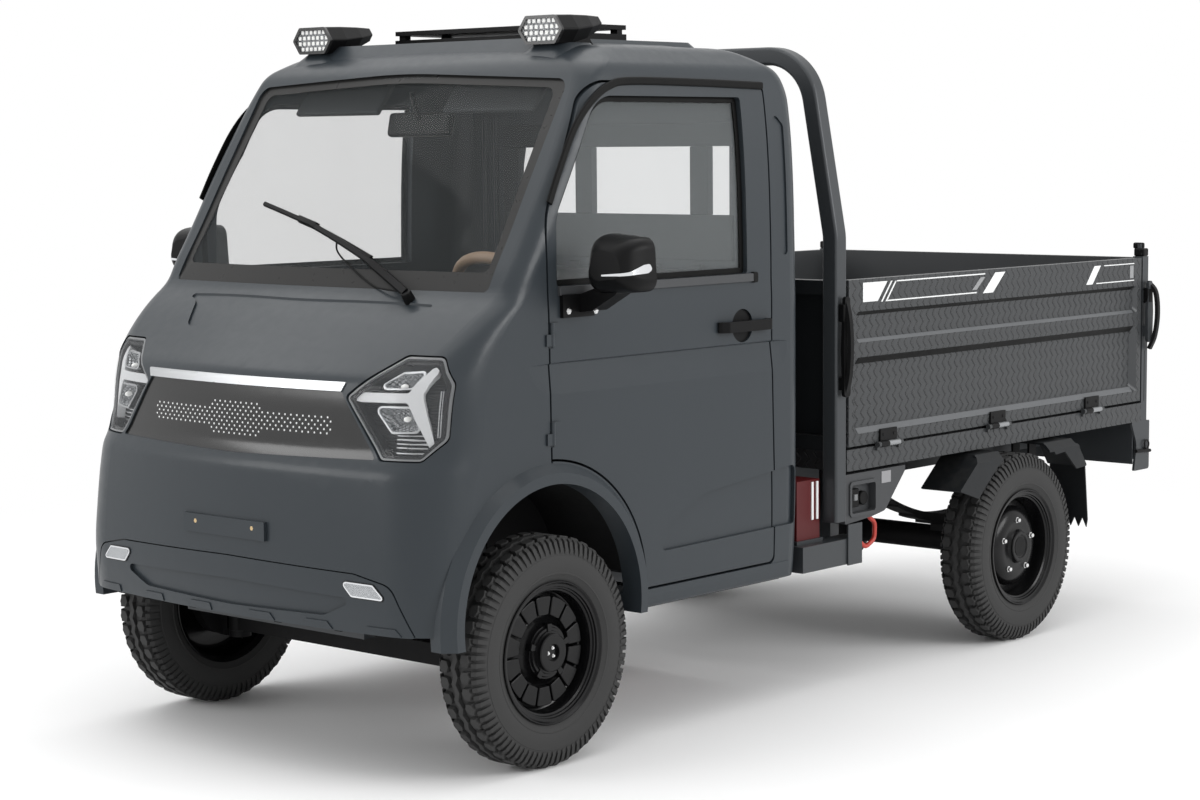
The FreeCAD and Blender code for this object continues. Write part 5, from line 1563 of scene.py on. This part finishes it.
@dataclass
class Glazing:
    """Dark band round the windshield, inner mirror, sun visors and the wiper."""

    edge: Corners = (
        (-0.581, 1.156, 0.014), (0.581, 1.156, 0.014), (0.57, 1.68, 0.034), (0.0, 1.705, 2.5),
        (-0.57, 1.68, 0.034))
    sight: Corners = (
        (-0.549, 1.208, 0.016), (0.549, 1.208, 0.016), (0.528, 1.652, 0.028), (0.0, 1.676, 2.5),
        (-0.528, 1.652, 0.028))
    tip: Pair = (-0.32, 1.3585)
    joint: Pair = (-0.104, 1.31)
    heel: Pair = (0.171, 1.231)
    elbow: Pair = (0.196, 1.212)
    pivot: Pair = (0.356, 1.141)

    def band(self) -> None:
        """Printed band round the glass."""
        ring = Make.ring("windshield_band", Outline.rounded(self.edge, 5), Outline.rounded(self.sight, 5),
                         Skin("windshield").front, -0.0008, 0.0008, Look.FRIT)
        dress(ring, "truck", "gloss_black")

    def wiper(self) -> None:
        """Arm with its clamp, blade and the washer hose."""
        skin = Skin("windshield", "cab_nose")

        def strip(name: str, route: Sequence[Triple], section: Edge, finish: Finish) -> Piece:
            """Bar over the glass through (x, z, lift) points."""
            known = [skin.front(x, z, lift) for x, z, lift in route]
            return Make.sweep(name, Make.curved(known, 6), section, finish, up=Vector((0, -0.78, 0.62)))

        def bar(half: float, depth: float) -> list[Pair]:
            """Section with its top edges drawn in."""
            top, side = half * 0.7, depth / 2
            return [(-half, -side), (half, -side), (top, side), (-top, side)]

        blade = [self.tip, (-0.215, 1.336), self.joint, (0.0358, 1.272), self.heel]
        arm = [(*self.joint, 0.022), (0.03, 1.269, 0.026), (*self.elbow, 0.03), (0.28, 1.174, 0.03),
               (*self.pivot, 0.024)]
        hose = [(0.03, 1.269, 0.018), (0.05, 1.24, 0.014), (0.13, 1.2, 0.01),
                (0.209, 1.1668, 0.008), (0.27, 1.156, 0.012), (0.335, 1.148, 0.018)]
        clamp = [(-0.145, 1.3195, 0.019), (*self.joint, 0.021), (-0.064, 1.301, 0.021)]
        parts = [strip("arm", arm, bar(0.008, 0.008), Look.PLASTIC),
                 strip("shank", arm[2:], bar(0.0115, 0.013), Look.PLASTIC),
                 strip("clamp", clamp, bar(0.0095, 0.013), Look.PLASTIC),
                 strip("spine", [(*spot, 0.0125) for spot in blade], bar(0.0068, 0.007), Look.PLASTIC),
                 strip("rubber", [(*spot, 0.0055) for spot in blade], bar(0.0028, 0.009), Look.SEAL),
                 strip("hose", hose, Make.circle(0.0024, 8), Look.SEAL)]
        foot = skin.front(*self.pivot, -0.004)
        away = (skin.front(*self.pivot, 0.02) - foot).normalized()
        hub = [(0.0, 0.015), (0.022, 0.014), (0.028, 0.0125), (0.03, 0.009)]
        parts.append(Make.turned("hub", hub, Look.PLASTIC, 28, foot, away))
        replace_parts(Make.joined("wiper_fine", parts, "truck", "black_plastic"), "wiper")

    def inner_mirror(self) -> None:
        """Rear-view mirror on its stem, and two sun visors."""
        spin, fold = (Matrix.Rotation(math.radians(angle), 3, "X") for angle in (-12, -38))
        route = Make.curved([(0, -1.0, 1.57), (0, -1.018, 1.61), (0, -1.03, 1.652)], 6)
        parts = [Make.block("shell", (-0.115, -1.01, 1.535), (0.115, -0.985, 1.6), Look.PLASTIC, 0.01, spin),
                 Make.block("glass", (-0.105, -0.986, 1.542), (0.105, -0.981, 1.592), Look.MIRROR, turn=spin),
                 Make.sweep("stem", route, Make.circle(0.007, 10), Look.PLASTIC)]
        Make.joined("inner_mirror", parts, "truck", "interior")
        for side, name in SIDES:
            x = side * 0.28
            visor = Make.block(f"sun_visor_{name}", (x - 0.16, -1.012, 1.585), (x + 0.16, -0.996, 1.69),
                               Look.CABIN, 0.006, fold)
            dress(visor, "truck", "interior")

    def build(self) -> None:
        """All pieces on and behind the glass."""
        self.band()
        self.wiper()
        self.inner_mirror()


@dataclass
class Doors:
    """Seals, belt mouldings, lock, mirror faces and inner panels of the doors."""

    window: Corners = (
        (-1.19, 1.172, 0.01), (-1.187, 1.345, 0.12), (-1.015, 1.632, 0.11), (-0.444, 1.632, 0.01),
        (-0.444, 1.172, 0.01))
    belt: Corners = (
        (-1.186, 1.15, 0.002), (-0.42, 1.15, 0.008), (-0.42, 1.172, 0.006), (-1.186, 1.172, 0.002))
    drip: tuple[Pair, ...] = (
        (-1.206, 1.372), (-1.162, 1.454), (-1.099, 1.554), (-1.031, 1.62), (-0.957, 1.6575),
        (-0.871, 1.669), (-0.6, 1.668), (-0.345, 1.663))
    housing_rear: float = -1.062

    def lateral(self, skin: Skin, side: int) -> Place:
        """Placing on one flank, from the left flank's skin: u along the truck, v up.

        Args:
            skin: the left flank.
            side: LEFT or RIGHT.

        Returns:
            The placing.
        """
        def place(u: float, v: float, lift: float) -> Vector:
            """Point on the left flank, flipped for the right one."""
            spot = skin.left(u, v, lift)
            return Vector((side * spot.x, spot.y, spot.z))
        return place

    def trims(self, side: int, name: str, skin: Skin) -> None:
        """Window seal, belt strip, drip moulding and lock on the outside.

        Args:
            side: LEFT or RIGHT.
            name: the side's name.
            skin: flank of the left door.
        """
        body, place = f"door_{name}", self.lateral(skin, side)
        edge = Outline.rounded(self.window, 6)
        seal = Make.ring("seal", Outline.inset(edge, 0.0005), Outline.inset(edge, 0.015),
                         self.lateral(Skin("door_glass_left"), side), -0.001, 0.0048, Look.SEAL)
        rail = Make.slab("rail", Outline.rounded(self.belt, 4), place, -0.002, 0.0085, Look.GREY_PLASTIC,
                         step=0.04, bevel=0.003)
        end = Outline.rounded([(-0.428, 1.147, 0.004), (-0.408, 1.147, 0.006), (-0.408, 1.175, 0.006),
                               (-0.428, 1.175, 0.004)], 3)
        cap = Make.slab("cap", end, place, -0.002, 0.0095, Look.SEAL, bevel=0.002)
        Make.joined(f"door_trim_{name}", [seal, rail, cap], body, "black_plastic")
        line = [Vector((place(y + 0.008, z - 0.012, 0.0).x, y, z)) for y, z in self.drip]
        bead = [(0.01, -0.001), (0.01, 0.003), (0.0065, 0.006), (-0.0065, 0.006), (-0.01, 0.003),
                (-0.01, -0.001)]
        strip = Make.sweep(f"drip_moulding_{name}", Make.curved(line, 8), bead, Look.SEAL, up=side * AXIS_X)
        dress(Make.bevelled(strip, 0.0015), body, "black_plastic")
        lock = Make.bolt(f"door_lock_{name}", place(-0.372, 1.036, 0.0), side * AXIS_X, 0.0075, 0.004,
                         Look.BRIGHT)
        dress(lock, body, "bright_trim")

    def mirror(self, side: int, name: str) -> None:
        """Mirror glass, bright wedge on the housing and bolts on the foot.

        Args:
            side: LEFT or RIGHT.
            name: the side's name.
        """
        body = f"door_{name}"
        face = Outline.rounded([(0.708, 1.158, 0.024), (0.85, 1.17, 0.024), (0.842, 1.281, 0.024),
                                (0.719, 1.292, 0.024)], 5)
        behind = flat((0, self.housing_rear, 0), AXIS_X, AXIS_Z, AXIS_Y)
        dress(Make.slab(f"mirror_glass_{name}", Outline.mirrored(face, side), behind, -0.002, 0.0015,
                        Look.MIRROR), body, "bright_trim")
        skin = Skin("door_fittings_left")
        outer = self.lateral(skin, side)

        def corner(u: float, v: float, lift: float) -> Vector:
            """Placing on the housing seen from its front outer corner.

            Args:
                u: first coordinate.
                v: second coordinate.
                lift: distance off the surface, outward.

            Returns:
                The point in space.
            """
            start = Vector((u + 3.0, u - 3.0, v * math.sqrt(2))) / math.sqrt(2)
            spot = skin.hit(start, Vector((-1, 1, 0)).normalized(), lift)
            return Vector((side * spot.x, spot.y, spot.z))

        wedge = Outline.rounded([(-0.279, 1.199, 0.001), (-0.215, 1.202, 0.04), (-0.168, 1.206, 0.01),
                                 (-0.158, 1.214, 0.006), (-0.164, 1.228, 0.006), (-0.18, 1.226, 0.01),
                                 (-0.215, 1.21, 0.04), (-0.279, 1.203, 0.001)], 3)
        dress(Make.slab(f"mirror_wedge_{name}", wedge, corner, -0.001, 0.0016, Look.BRIGHT, step=0.006),
              body, "bright_trim")
        for index, y in enumerate((-1.16, -1.106)):
            bolt = Make.bolt(f"mirror_bolt_{index}_{name}", outer(y, 1.112, 0.0), side * AXIS_X, 0.0065,
                             0.004, Look.NUT)
            dress(bolt, body, "bright_trim")

    def inner_panel(self, side: int, name: str) -> None:
        """Moulded panel with an armrest on the inside.

        Args:
            side: LEFT or RIGHT.
            name: the side's name.
        """
        inward = flat((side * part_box("door_left")[0].x, 0, 0), AXIS_Y, AXIS_Z, -side * AXIS_X)
        card = Outline.rounded([(-0.88, 0.6, 0.06), (-0.4, 0.6, 0.03), (-0.4, 1.12, 0.03),
                                (-1.13, 1.12, 0.05), (-1.13, 0.88, 0.1)], 5)
        rest = Outline.rounded([(-0.98, 0.905, 0.02), (-0.48, 0.885, 0.02), (-0.47, 0.945, 0.02),
                                (-0.98, 0.95, 0.02)], 4)
        panel = Make.slab("panel", card, inward, -0.002, 0.01, Look.CABIN, bevel=0.004)
        arm = Make.slab("arm", rest, inward, 0.0, 0.045, Look.CABIN, bevel=0.01)
        Make.joined(f"door_card_{name}", [panel, arm], f"door_{name}", "interior")

    def build(self) -> None:
        """Both doors."""
        skin = Skin("door_left", "cab_side_left")
        for side, name in SIDES:
            self.trims(side, name, skin)
            self.mirror(side, name)
            self.inner_panel(side, name)


@dataclass
class RoofLamps:
    """Lens, cells and rim on the two lamps above the windshield."""

    centre: Triple = (0.421, -0.985, 1.799)
    half_width: float = 0.076
    shoulder: float = 0.05
    half_height: float = 0.036
    rows: int = 4
    columns: int = 8
    margin: float = 0.012

    def hexagon(self, inset: float) -> list[Pair]:
        """Lamp outline about its own centre, moved inward by the inset.

        Args:
            inset: distance inward; 0 is the lamp's edge.

        Returns:
            The outline's points.
        """
        corners = [(-self.half_width, 0.0, 0.006), (-self.shoulder, -self.half_height, 0.008),
                   (self.shoulder, -self.half_height, 0.008), (self.half_width, 0.0, 0.006),
                   (self.shoulder, self.half_height, 0.008), (-self.shoulder, self.half_height, 0.008)]
        return Outline.inset(Outline.rounded(corners, 3), inset)

    def lamp(self, side: int, name: str) -> None:
        """Rim, cells and lens of one lamp.

        Args:
            side: LEFT or RIGHT.
            name: the side's name.
        """
        x, y, z = self.centre
        ahead = flat((side * x, y, z), AXIS_X, AXIS_Z, -AXIS_Y)
        parts = [Make.ring("rim", self.hexagon(0.0), self.hexagon(0.008), ahead, -0.002, 0.008, Look.GLOSS),
                 Make.slab("plate", self.hexagon(0.007), ahead, -0.001, 0.001, Look.REFLECTOR)]
        for row in range(self.rows):
            v = (row - (self.rows - 1) / 2) * 0.015
            reach = self.half_width - self.margin - abs(v) * 0.72
            count = max(2, round(self.columns * reach / (self.half_width - self.margin)))
            for column in range(count):
                u = (column - (count - 1) / 2) * (2 * reach - self.margin) / max(1, count - 1)
                cell = Outline.plate(u - 0.005, v - 0.005, u + 0.005, v + 0.005, 0.0015, 2)
                parts.append(Make.slab("cell", cell, ahead, 0.0005, 0.003, Look.LED, bevel=0.0012))
        Make.joined(f"roof_lamp_cells_{name}", parts, "truck", "lamp_glass")
        lens = Make.slab(f"roof_lamp_lens_{name}", self.hexagon(0.0075), ahead, 0.0055, 0.007, Look.LENS)
        dress(lens, "truck", "lamp_glass")

    def build(self) -> None:
        """Both lamps."""
        for side, name in SIDES:
            self.lamp(side, name)


@dataclass(frozen=True)
class Pad:
    """Quilted pad with two halves of upright channels."""

    centre: Vector
    up: Vector
    out: Vector
    width: float
    depth: float
    thick: float
    channels: int = 5
    columns: int = 96
    rows: int = 40

    def point(self, u: float, v: float, level: int) -> Vector:
        """Point of the pad's back or face.

        Args:
            u: from -1 to 1 along its width.
            v: from -1 to 1 along its depth.
            level: 0 for the back, 1 for the face.

        Returns:
            The point in space.
        """
        corner = (1 - abs(u) ** 14) * (1 - abs(v) ** 6)
        seam = 1 - 0.55 * math.exp(-(u * self.width * 0.5 / 0.009) ** 2)
        quilted = abs(v) < 0.72 and 0.06 < abs(u) < 0.94
        flute = abs(sin(math.pi * self.channels * (u + 1))) ** 0.35 if quilted else 1.0
        face = 0.34 + 0.66 * max(0.0, corner) ** 0.45 * seam - 0.045 * (1 - flute)
        height = (-0.5 + face) * self.thick if level else -0.5 * self.thick
        edge_u = 0.5 * self.width * u * (1.0 if level else 0.985)
        edge_v = 0.5 * self.depth * v * (1.0 if level else 0.97)
        return self.centre + AXIS_X * edge_u + self.up * edge_v + self.out * height

    def build(self, name: str, node: str) -> None:
        """Makes the pad in place of a plain one.

        Args:
            name: the piece's name.
            node: CAD node that it replaces.
        """
        columns, rows = self.columns, self.rows
        grid = [self.point(2 * i / columns - 1, 2 * j / rows - 1, level)
                for level in (0, 1) for j in range(rows + 1) for i in range(columns + 1)]
        span, layer = columns + 1, (columns + 1) * (rows + 1)
        faces = [face for first in (0, layer) for face in Make.bands(rows + 1, span, False, False, first)]
        border = [*range(columns), *(j * span + columns for j in range(rows)),
                  *(rows * span + i for i in range(columns, 0, -1)), *(j * span for j in range(rows, 0, -1))]
        faces += [(here, after, layer + after, layer + here)
                  for here, after in zip(border, border[1:] + border[:1])]
        pad = Make.from_data(name, grid, faces, Look.SEAT, 70)
        smooth = pad.modifiers.new("soft", "SUBSURF")
        smooth.levels = smooth.render_levels = 1
        dress(pad, "truck", "seat_leather")
        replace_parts(pad, node)


@dataclass
class Cabin:
    """Soft bench seat, steering wheel, dash details and rear wall panels."""

    wheel_foot: Triple = (0.33, -1.005, 1.085)
    wheel_radius: float = 0.178
    window_panels: tuple[tuple[float, float, float, float], ...] = (  # x0, x1, z0, z1
        (-0.43, 0.43, 1.19, 1.316), (-0.43, 0.43, 1.505, 1.57), (-0.43, -0.368, 1.316, 1.505),
        (-0.145, -0.082, 1.316, 1.505), (0.281, 0.345, 1.316, 1.505))

    def seat(self) -> None:
        """Cushion and leaning backrest."""
        low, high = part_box("seat_cushion")
        size = high - low
        cushion = Pad((low + high) / 2, AXIS_Y, AXIS_Z, size.x, size.y, size.z)
        cushion.build("seat_cushion_soft", "seat_cushion")
        low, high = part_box("seat_back")
        size = high - low
        lean = Vector((0, size.y - 0.09, size.z)).normalized()
        back = Pad((low + high) / 2 + Vector((0, -0.002, 0)), lean, Vector((0, -lean.z, lean.y)), size.x,
                   size.z * 0.98, 0.085)
        back.build("seat_back_soft", "seat_back")

    def steering_wheel(self) -> None:
        """Leather rim, three grey spokes and a padded hub on the column."""
        axis = Vector((0, 1, 1)).normalized()
        centre = Vector(self.wheel_foot) + axis * 0.03
        upward = AXIS_X.cross(axis).normalized()
        path = [centre + (AXIS_X * cos(a) + upward * sin(a)) * self.wheel_radius
                for a in (tau * k / 96 for k in range(96))]
        parts = [Make.sweep("rim", path, Make.circle(0.0145, 16, 0.0165), Look.TAN, True, axis)]
        plate = [(-0.018, -0.003), (0.018, -0.003), (0.016, 0.004), (-0.016, 0.004)]
        for way in (AXIS_X, -AXIS_X, -upward):
            route = [centre - axis * 0.02 + way * 0.03, centre - axis * 0.016 + way * 0.08,
                     centre - axis * 0.004 + way * 0.135, centre + way * 0.17]
            parts.append(Make.sweep("spoke", Make.curved(route, 6), plate, Look.SPOKE, up=axis))
        pad = [(-0.03, 0.03), (-0.026, 0.05), (-0.004, 0.056), (0.008, 0.05), (0.013, 0.034), (0.014, 0.012)]
        parts += [Make.turned("pad", pad, Look.SPOKE, 48, centre, axis),
                  Make.sweep("shaft", [centre - axis * 0.135, centre - axis * 0.02],
                             Make.circle(0.0098, 16), Look.STEEL)]
        whole = Make.joined("steering_wheel_fine", parts, "steering_wheel", "wheel_leather")
        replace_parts(whole, "steering_wheel")

    def dash(self) -> None:
        """Gauge screen, centre stack with knobs, vents and the glove box lid."""
        tree = Skin("dashboard").tree

        def rear(u: float, v: float, lift: float) -> Vector:
            """Placing on the dash face that looks at the seat."""
            spot, normal, _, _ = tree.ray_cast(Vector((u, 0.0, v)), -AXIS_Y)
            return spot + normal * lift if spot else Vector((u, -1.09, v))

        plates = [("gauge_screen", 0.215, 1.085, 0.385, 1.135, 0.01, Look.GLOSS),
                  ("centre_screen", -0.105, 0.985, 0.105, 1.065, 0.008, Look.GLOSS),
                  ("glove_lid", -0.52, 0.93, -0.2, 1.03, 0.015, Look.GREY_PLASTIC)]
        plates += [(f"dash_vent_{index}", x - 0.035, 1.03, x + 0.035, 1.062, 0.01, Look.MAT)
                   for index, x in enumerate((-0.555, -0.16, 0.16, 0.5))]
        for name, *box, radius, finish in plates:
            dress(Make.slab(name, Outline.plate(*box, radius, 4), rear, -0.002, 0.004, finish, step=0.02,
                            bevel=0.0015), "truck", "interior")
        knob = [(0.0, 0.017), (0.004, 0.016), (0.016, 0.014), (0.018, 0.011)]
        for index, x in enumerate((-0.06, 0.0, 0.06)):
            dress(Make.turned(f"dash_knob_{index}", knob, Look.PLASTIC, 28, rear(x, 0.945, -0.002),
                              AXIS_Y), "truck", "interior")

    def rear_wall(self) -> None:
        """Pressed ribs and window panels on the inside of the rear wall."""
        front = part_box("cab_rear_wall")[0].y
        blocks = [(f"wall_rib_{index}", x - 0.022, x + 0.022, 0.8, 1.18, -0.008, 0.002, 0.006)
                  for index, x in enumerate((index - 3) * 0.15 for index in range(7))]
        blocks += [(f"window_panel_{index}", *panel, -0.006, 0.02, 0.003)
                   for index, panel in enumerate(self.window_panels)]
        for name, x0, x1, z0, z1, near, far, bevel in blocks:
            dress(Make.block(name, (x0, front + near, z0), (x1, front + far, z1), Look.CABIN, bevel),
                  "truck", "interior")

    def build(self) -> None:
        """Everything inside the cab."""
        self.seat()
        self.steering_wheel()
        self.dash()
        self.rear_wall()


@dataclass
class LoadBed:
    """Painted highlight and shade strips on the pan folds, stripes, hinge leaves, latches, tail lamp lenses
    and socket details.
    """

    half_width: float = 0.6475
    gate_rear: float = 1.672
    hinge_z: float = 0.664
    side_hinges: tuple[float, ...] = (0.198, 0.77, 1.318)
    gate_hinges: tuple[float, ...] = (-0.42, 0.0, 0.42)
    front_stripes: tuple[tuple[float, ...], ...] = (  # z of foot and head, y of the four corners
        (1.069, 1.123, 0.079, 0.15, 0.197, 0.079), (1.066, 1.123, 0.166, 0.173, 0.222, 0.215),
        (1.066, 1.123, 0.188, 0.195, 0.244, 0.237), (1.1195, 1.123, 0.237, 0.7, 0.703, 0.237),
        (1.066, 1.0695, 0.195, 0.655, 0.658, 0.195), (1.064, 1.123, 0.69, 0.745, 0.812, 0.757))
    rear_stripes: tuple[tuple[float, ...], ...] = (
        (1.061, 1.118, 1.283, 1.322, 1.372, 1.333), (1.115, 1.118, 1.392, 1.582, 1.582, 1.392),
        (1.061, 1.064, 1.345, 1.582, 1.582, 1.345))
    grey_stripes: tuple[tuple[float, ...], ...] = (
        (1.076, 1.112, 0.632, 0.656, 0.702, 0.678), (1.07, 1.11, 1.556, 1.578, 1.578, 1.556))

    def stripes(self) -> None:
        """Plain slanted stripes and frame lines on each board's top band."""
        shapes = [(list(zip(along, (foot, foot, head, head))), finish)
                  for stripes, finish in ((self.front_stripes + self.rear_stripes, Look.STRIPE),
                                          (self.grey_stripes, Look.STRIPE_GREY))
                  for foot, head, *along in stripes]
        for side, name in SIDES:
            flank = flat((side * self.half_width, 0, 0), AXIS_Y, AXIS_Z, side * AXIS_X)
            parts = [Make.slab("stripe", shape, flank, 0.0, 0.0006, finish) for shape, finish in shapes]
            Make.joined(f"board_stripes_{name}", parts, f"side_board_{name}", "bright_trim")

    def folds(self) -> None:
        """Painted light and shade on the pressed pans: light grey strips as painted highlight on the lower
        slopes, black strips in the seal finish as painted shade on the upper slopes.
        """
        # z of foot and head and finish of each strip: the light grey finish is painted highlight, the black
        # seal finish is painted shade.
        rows = ((0.701, 0.7165, Look.FOLD), (0.897, 0.9145, Look.SEAL),
                (0.9565, 0.966, Look.FOLD), (1.033, 1.043, Look.SEAL))
        for name, way, start, end in (("side_board_left", -AXIS_X, 0.06, 1.582),
                                      ("side_board_right", AXIS_X, 0.06, 1.582),
                                      ("tailgate", -AXIS_Y, -0.557, 0.557)):
            skin = Skin(name)

            def on(u: float, v: float, lift: float, skin: Skin = skin, way: Vector = way) -> Vector:
                """Placing on the board's pressed face: u along it, v up."""
                origin = Vector((u, 3.0, v)) if abs(way.y) > 0 else Vector((-3.0 * way.x, u, v))
                return skin.hit(origin, way, lift)

            parts = [Make.slab("fold", Outline.plate(start, z0, end, z1), on, -0.0004, 0.0005, finish)
                     for z0, z1, finish in rows]
            Make.joined(f"{name}_folds", parts, name, "bed_paint")

    def hinge(self, spot: Vector, along: Vector, out: Vector) -> list[Piece]:
        """Black leaf with two screws, a sleeve and the pin of one hinge.

        Args:
            spot: middle of the pin.
            along: direction of the pin.
            out: direction away from the board.

        Returns:
            The hinge's parts.
        """
        corners = [spot - along * 0.041 - out * 0.0085 + Vector((0, 0, 0.001)),
                   spot + along * 0.041 - out * 0.002 + Vector((0, 0, 0.043))]
        low, high = ([op(a, b) for a, b in zip(*corners)] for op in (min, max))
        parts = [Make.block("leaf", low, high, Look.PLASTIC, 0.0012),
                 Make.sweep("sleeve", [spot - along * 0.046, spot - along * 0.008], Make.circle(0.009, 16),
                            Look.PLASTIC),
                 Make.sweep("pin", [spot - along * 0.008, spot + along * 0.046], Make.circle(0.0084, 16),
                            Look.ROD)]
        for offset in (-0.026, 0.026):
            seat = spot + along * offset - out * 0.0022 + Vector((0, 0, 0.026))
            parts.append(Make.bolt("screw", seat, out, 0.0045, 0.002, Look.UNDER))
        return parts

    def hinges(self) -> None:
        """Hinge leaves of the three boards."""
        pin = 0.0085
        rows = [(f"board_hinges_{name}", f"side_board_{name}", AXIS_Y, side * AXIS_X,
                 [(side * (self.half_width + pin), y, self.hinge_z) for y in self.side_hinges])
                for side, name in SIDES]
        rows.append(("gate_hinges", "tailgate", AXIS_X, AXIS_Y,
                     [(x, self.gate_rear + pin, self.hinge_z) for x in self.gate_hinges]))
        for name, body, along, out, spots in rows:
            parts = [part for spot in spots for part in self.hinge(Vector(spot), along, out)]
            Make.joined(name, parts, body, "black_plastic")

    def latches(self) -> None:
        """Bowed handles on the latches, clamps on the tail posts and the drop pins."""
        section = [(-0.01, -0.005), (0.01, -0.005), (0.0075, 0.005), (-0.0075, 0.005)]
        bows = (((0.66, -0.021, 1.086), (0.674, -0.021, 1.03), (0.679, -0.021, 0.95), (0.674, -0.021, 0.87),
                 (0.66, -0.021, 0.816)),
                ((0.656, 1.664, 1.052), (0.68, 1.668, 1.02), (0.687, 1.668, 0.95), (0.678, 1.668, 0.88),
                 (0.66, 1.666, 0.836)))
        boxes = ((0.612, 1.64, 1.137, 0.65, 1.672, 1.163), (0.604, 1.648, 1.161, 0.641, 1.664, 1.181),
                 (0.6478, 1.64, 0.985, 0.668, 1.672, 1.035), (0.6478, -0.038, 1.02, 0.668, -0.004, 1.07),
                 (0.6472, 1.6545, 0.665, 0.6479, 1.6575, 0.83))
        pin = [(0.653, 1.6, 0.505), (0.653, 1.69, 0.5)]
        ring = [(0.653, 1.668 + u, 0.522 + v) for u, v in Make.circle(0.014, 24)]
        for side, name in SIDES:
            def on(route: Sequence[Triple], way: int = side) -> list[Vector]:
                """Route on this side."""
                return [Vector((way * x, y, z)) for x, y, z in route]

            parts = [Make.sweep("bow", Make.curved(on(bow), 6), section, Look.PLASTIC,
                                up=side * AXIS_X) for bow in bows]
            for x0, y0, z0, x1, y1, z1 in boxes:
                low, high = sorted((side * x0, side * x1))
                parts.append(Make.block("block", (low, y0, z0), (high, y1, z1), Look.PLASTIC,
                                        min(0.005, 0.3 * (high - low))))
            Make.joined(f"latch_handles_{name}", parts, "truck", "black_plastic")
            parts = [Make.sweep("pin", on(pin), Make.circle(0.0055, 12), Look.UNDER),
                     Make.sweep("ring", on(ring), Make.circle(0.0028, 8), Look.UNDER, closed=True, up=AXIS_X)]
            Make.joined(f"drop_pin_{name}", parts, "truck", "black_plastic")

    def tail_lenses(self) -> None:
        """Amber, red and clear cells on the tail lamps."""
        behind = flat((0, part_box("tail_lamps")[1].y, 0), AXIS_X, AXIS_Z, AXIS_Y)
        for side, name in SIDES:
            parts = []
            for index, finish in enumerate((Look.TAIL_AMBER, Look.TAIL_RED, Look.FOG)):
                outer = 0.63 - index * 0.052
                cell = Outline.mirrored(Outline.plate(outer - 0.05, 0.474, outer, 0.55, 0.005, 3), side)
                parts.append(Make.slab("cell", cell, behind, -0.002, 0.0008, finish, bevel=0.0004))
            Make.joined(f"tail_lens_{name}", parts, "truck", "lamp_glass")

    def socket(self) -> None:
        """Fittings of the socket box, its blank plate, the cable bolt and the red unit's strips."""
        x = 0.6205
        outlet = [(0.0, 0.02), (0.01, 0.02), (0.012, 0.018)]
        parts = [Make.block("breaker", (x, 0.04, 0.492), (x + 0.012, 0.084, 0.545), Look.PLASTIC, 0.003),
                 Make.block("lever", (x + 0.01, 0.054, 0.512), (x + 0.018, 0.07, 0.53), Look.LAMP_EDGE),
                 Make.turned("outlet", outlet, Look.PLASTIC, 36, Vector((x, 0.108, 0.515)), AXIS_X)]
        Make.joined("socket_fittings", parts, "truck", "black_plastic")
        plate = Make.block("socket_plate", (0.6398, 0.181, 0.549), (0.6412, 0.227, 0.583), Look.STEEL, 0.0005)
        dress(plate, "truck", "bright_trim")
        bolt = Make.bolt("cable_bolt", Vector((0.603, 0.083, 0.392)), AXIS_Y, 0.009, 0.01, Look.BRASS)
        dress(bolt, "truck", "bright_trim")
        strips = [Make.block("strip", (0.5995, y, 0.473), (0.603, y + 0.009, 0.579), Look.STRIPE, 0.0008)
                  for y in (-0.099, -0.077)]
        Make.joined("unit_strips", strips, "truck", "bright_trim")

    def build(self) -> None:
        """All fine pieces of the bed."""
        self.stripes()
        self.folds()
        self.hinges()
        self.latches()
        self.tail_lenses()
        self.socket()


def main() -> None:
    """Dresses the truck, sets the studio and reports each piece."""
    logging.basicConfig(level=logging.INFO, format="%(name)s: %(message)s")
    known = set(bpy.data.objects.keys())
    for part in (Bodywork(), Wheels(), Headlamps(), NoseTrim(), Glazing(), Doors(), RoofLamps(), Cabin(),
                 LoadBed(), Studio()):
        part.build()
        for name in sorted(set(bpy.data.objects.keys()) - known):
            LOG.info("%s made %s", type(part).__name__, name)
        known |= set(bpy.data.objects.keys())


if __name__ == "__main__":
    main()
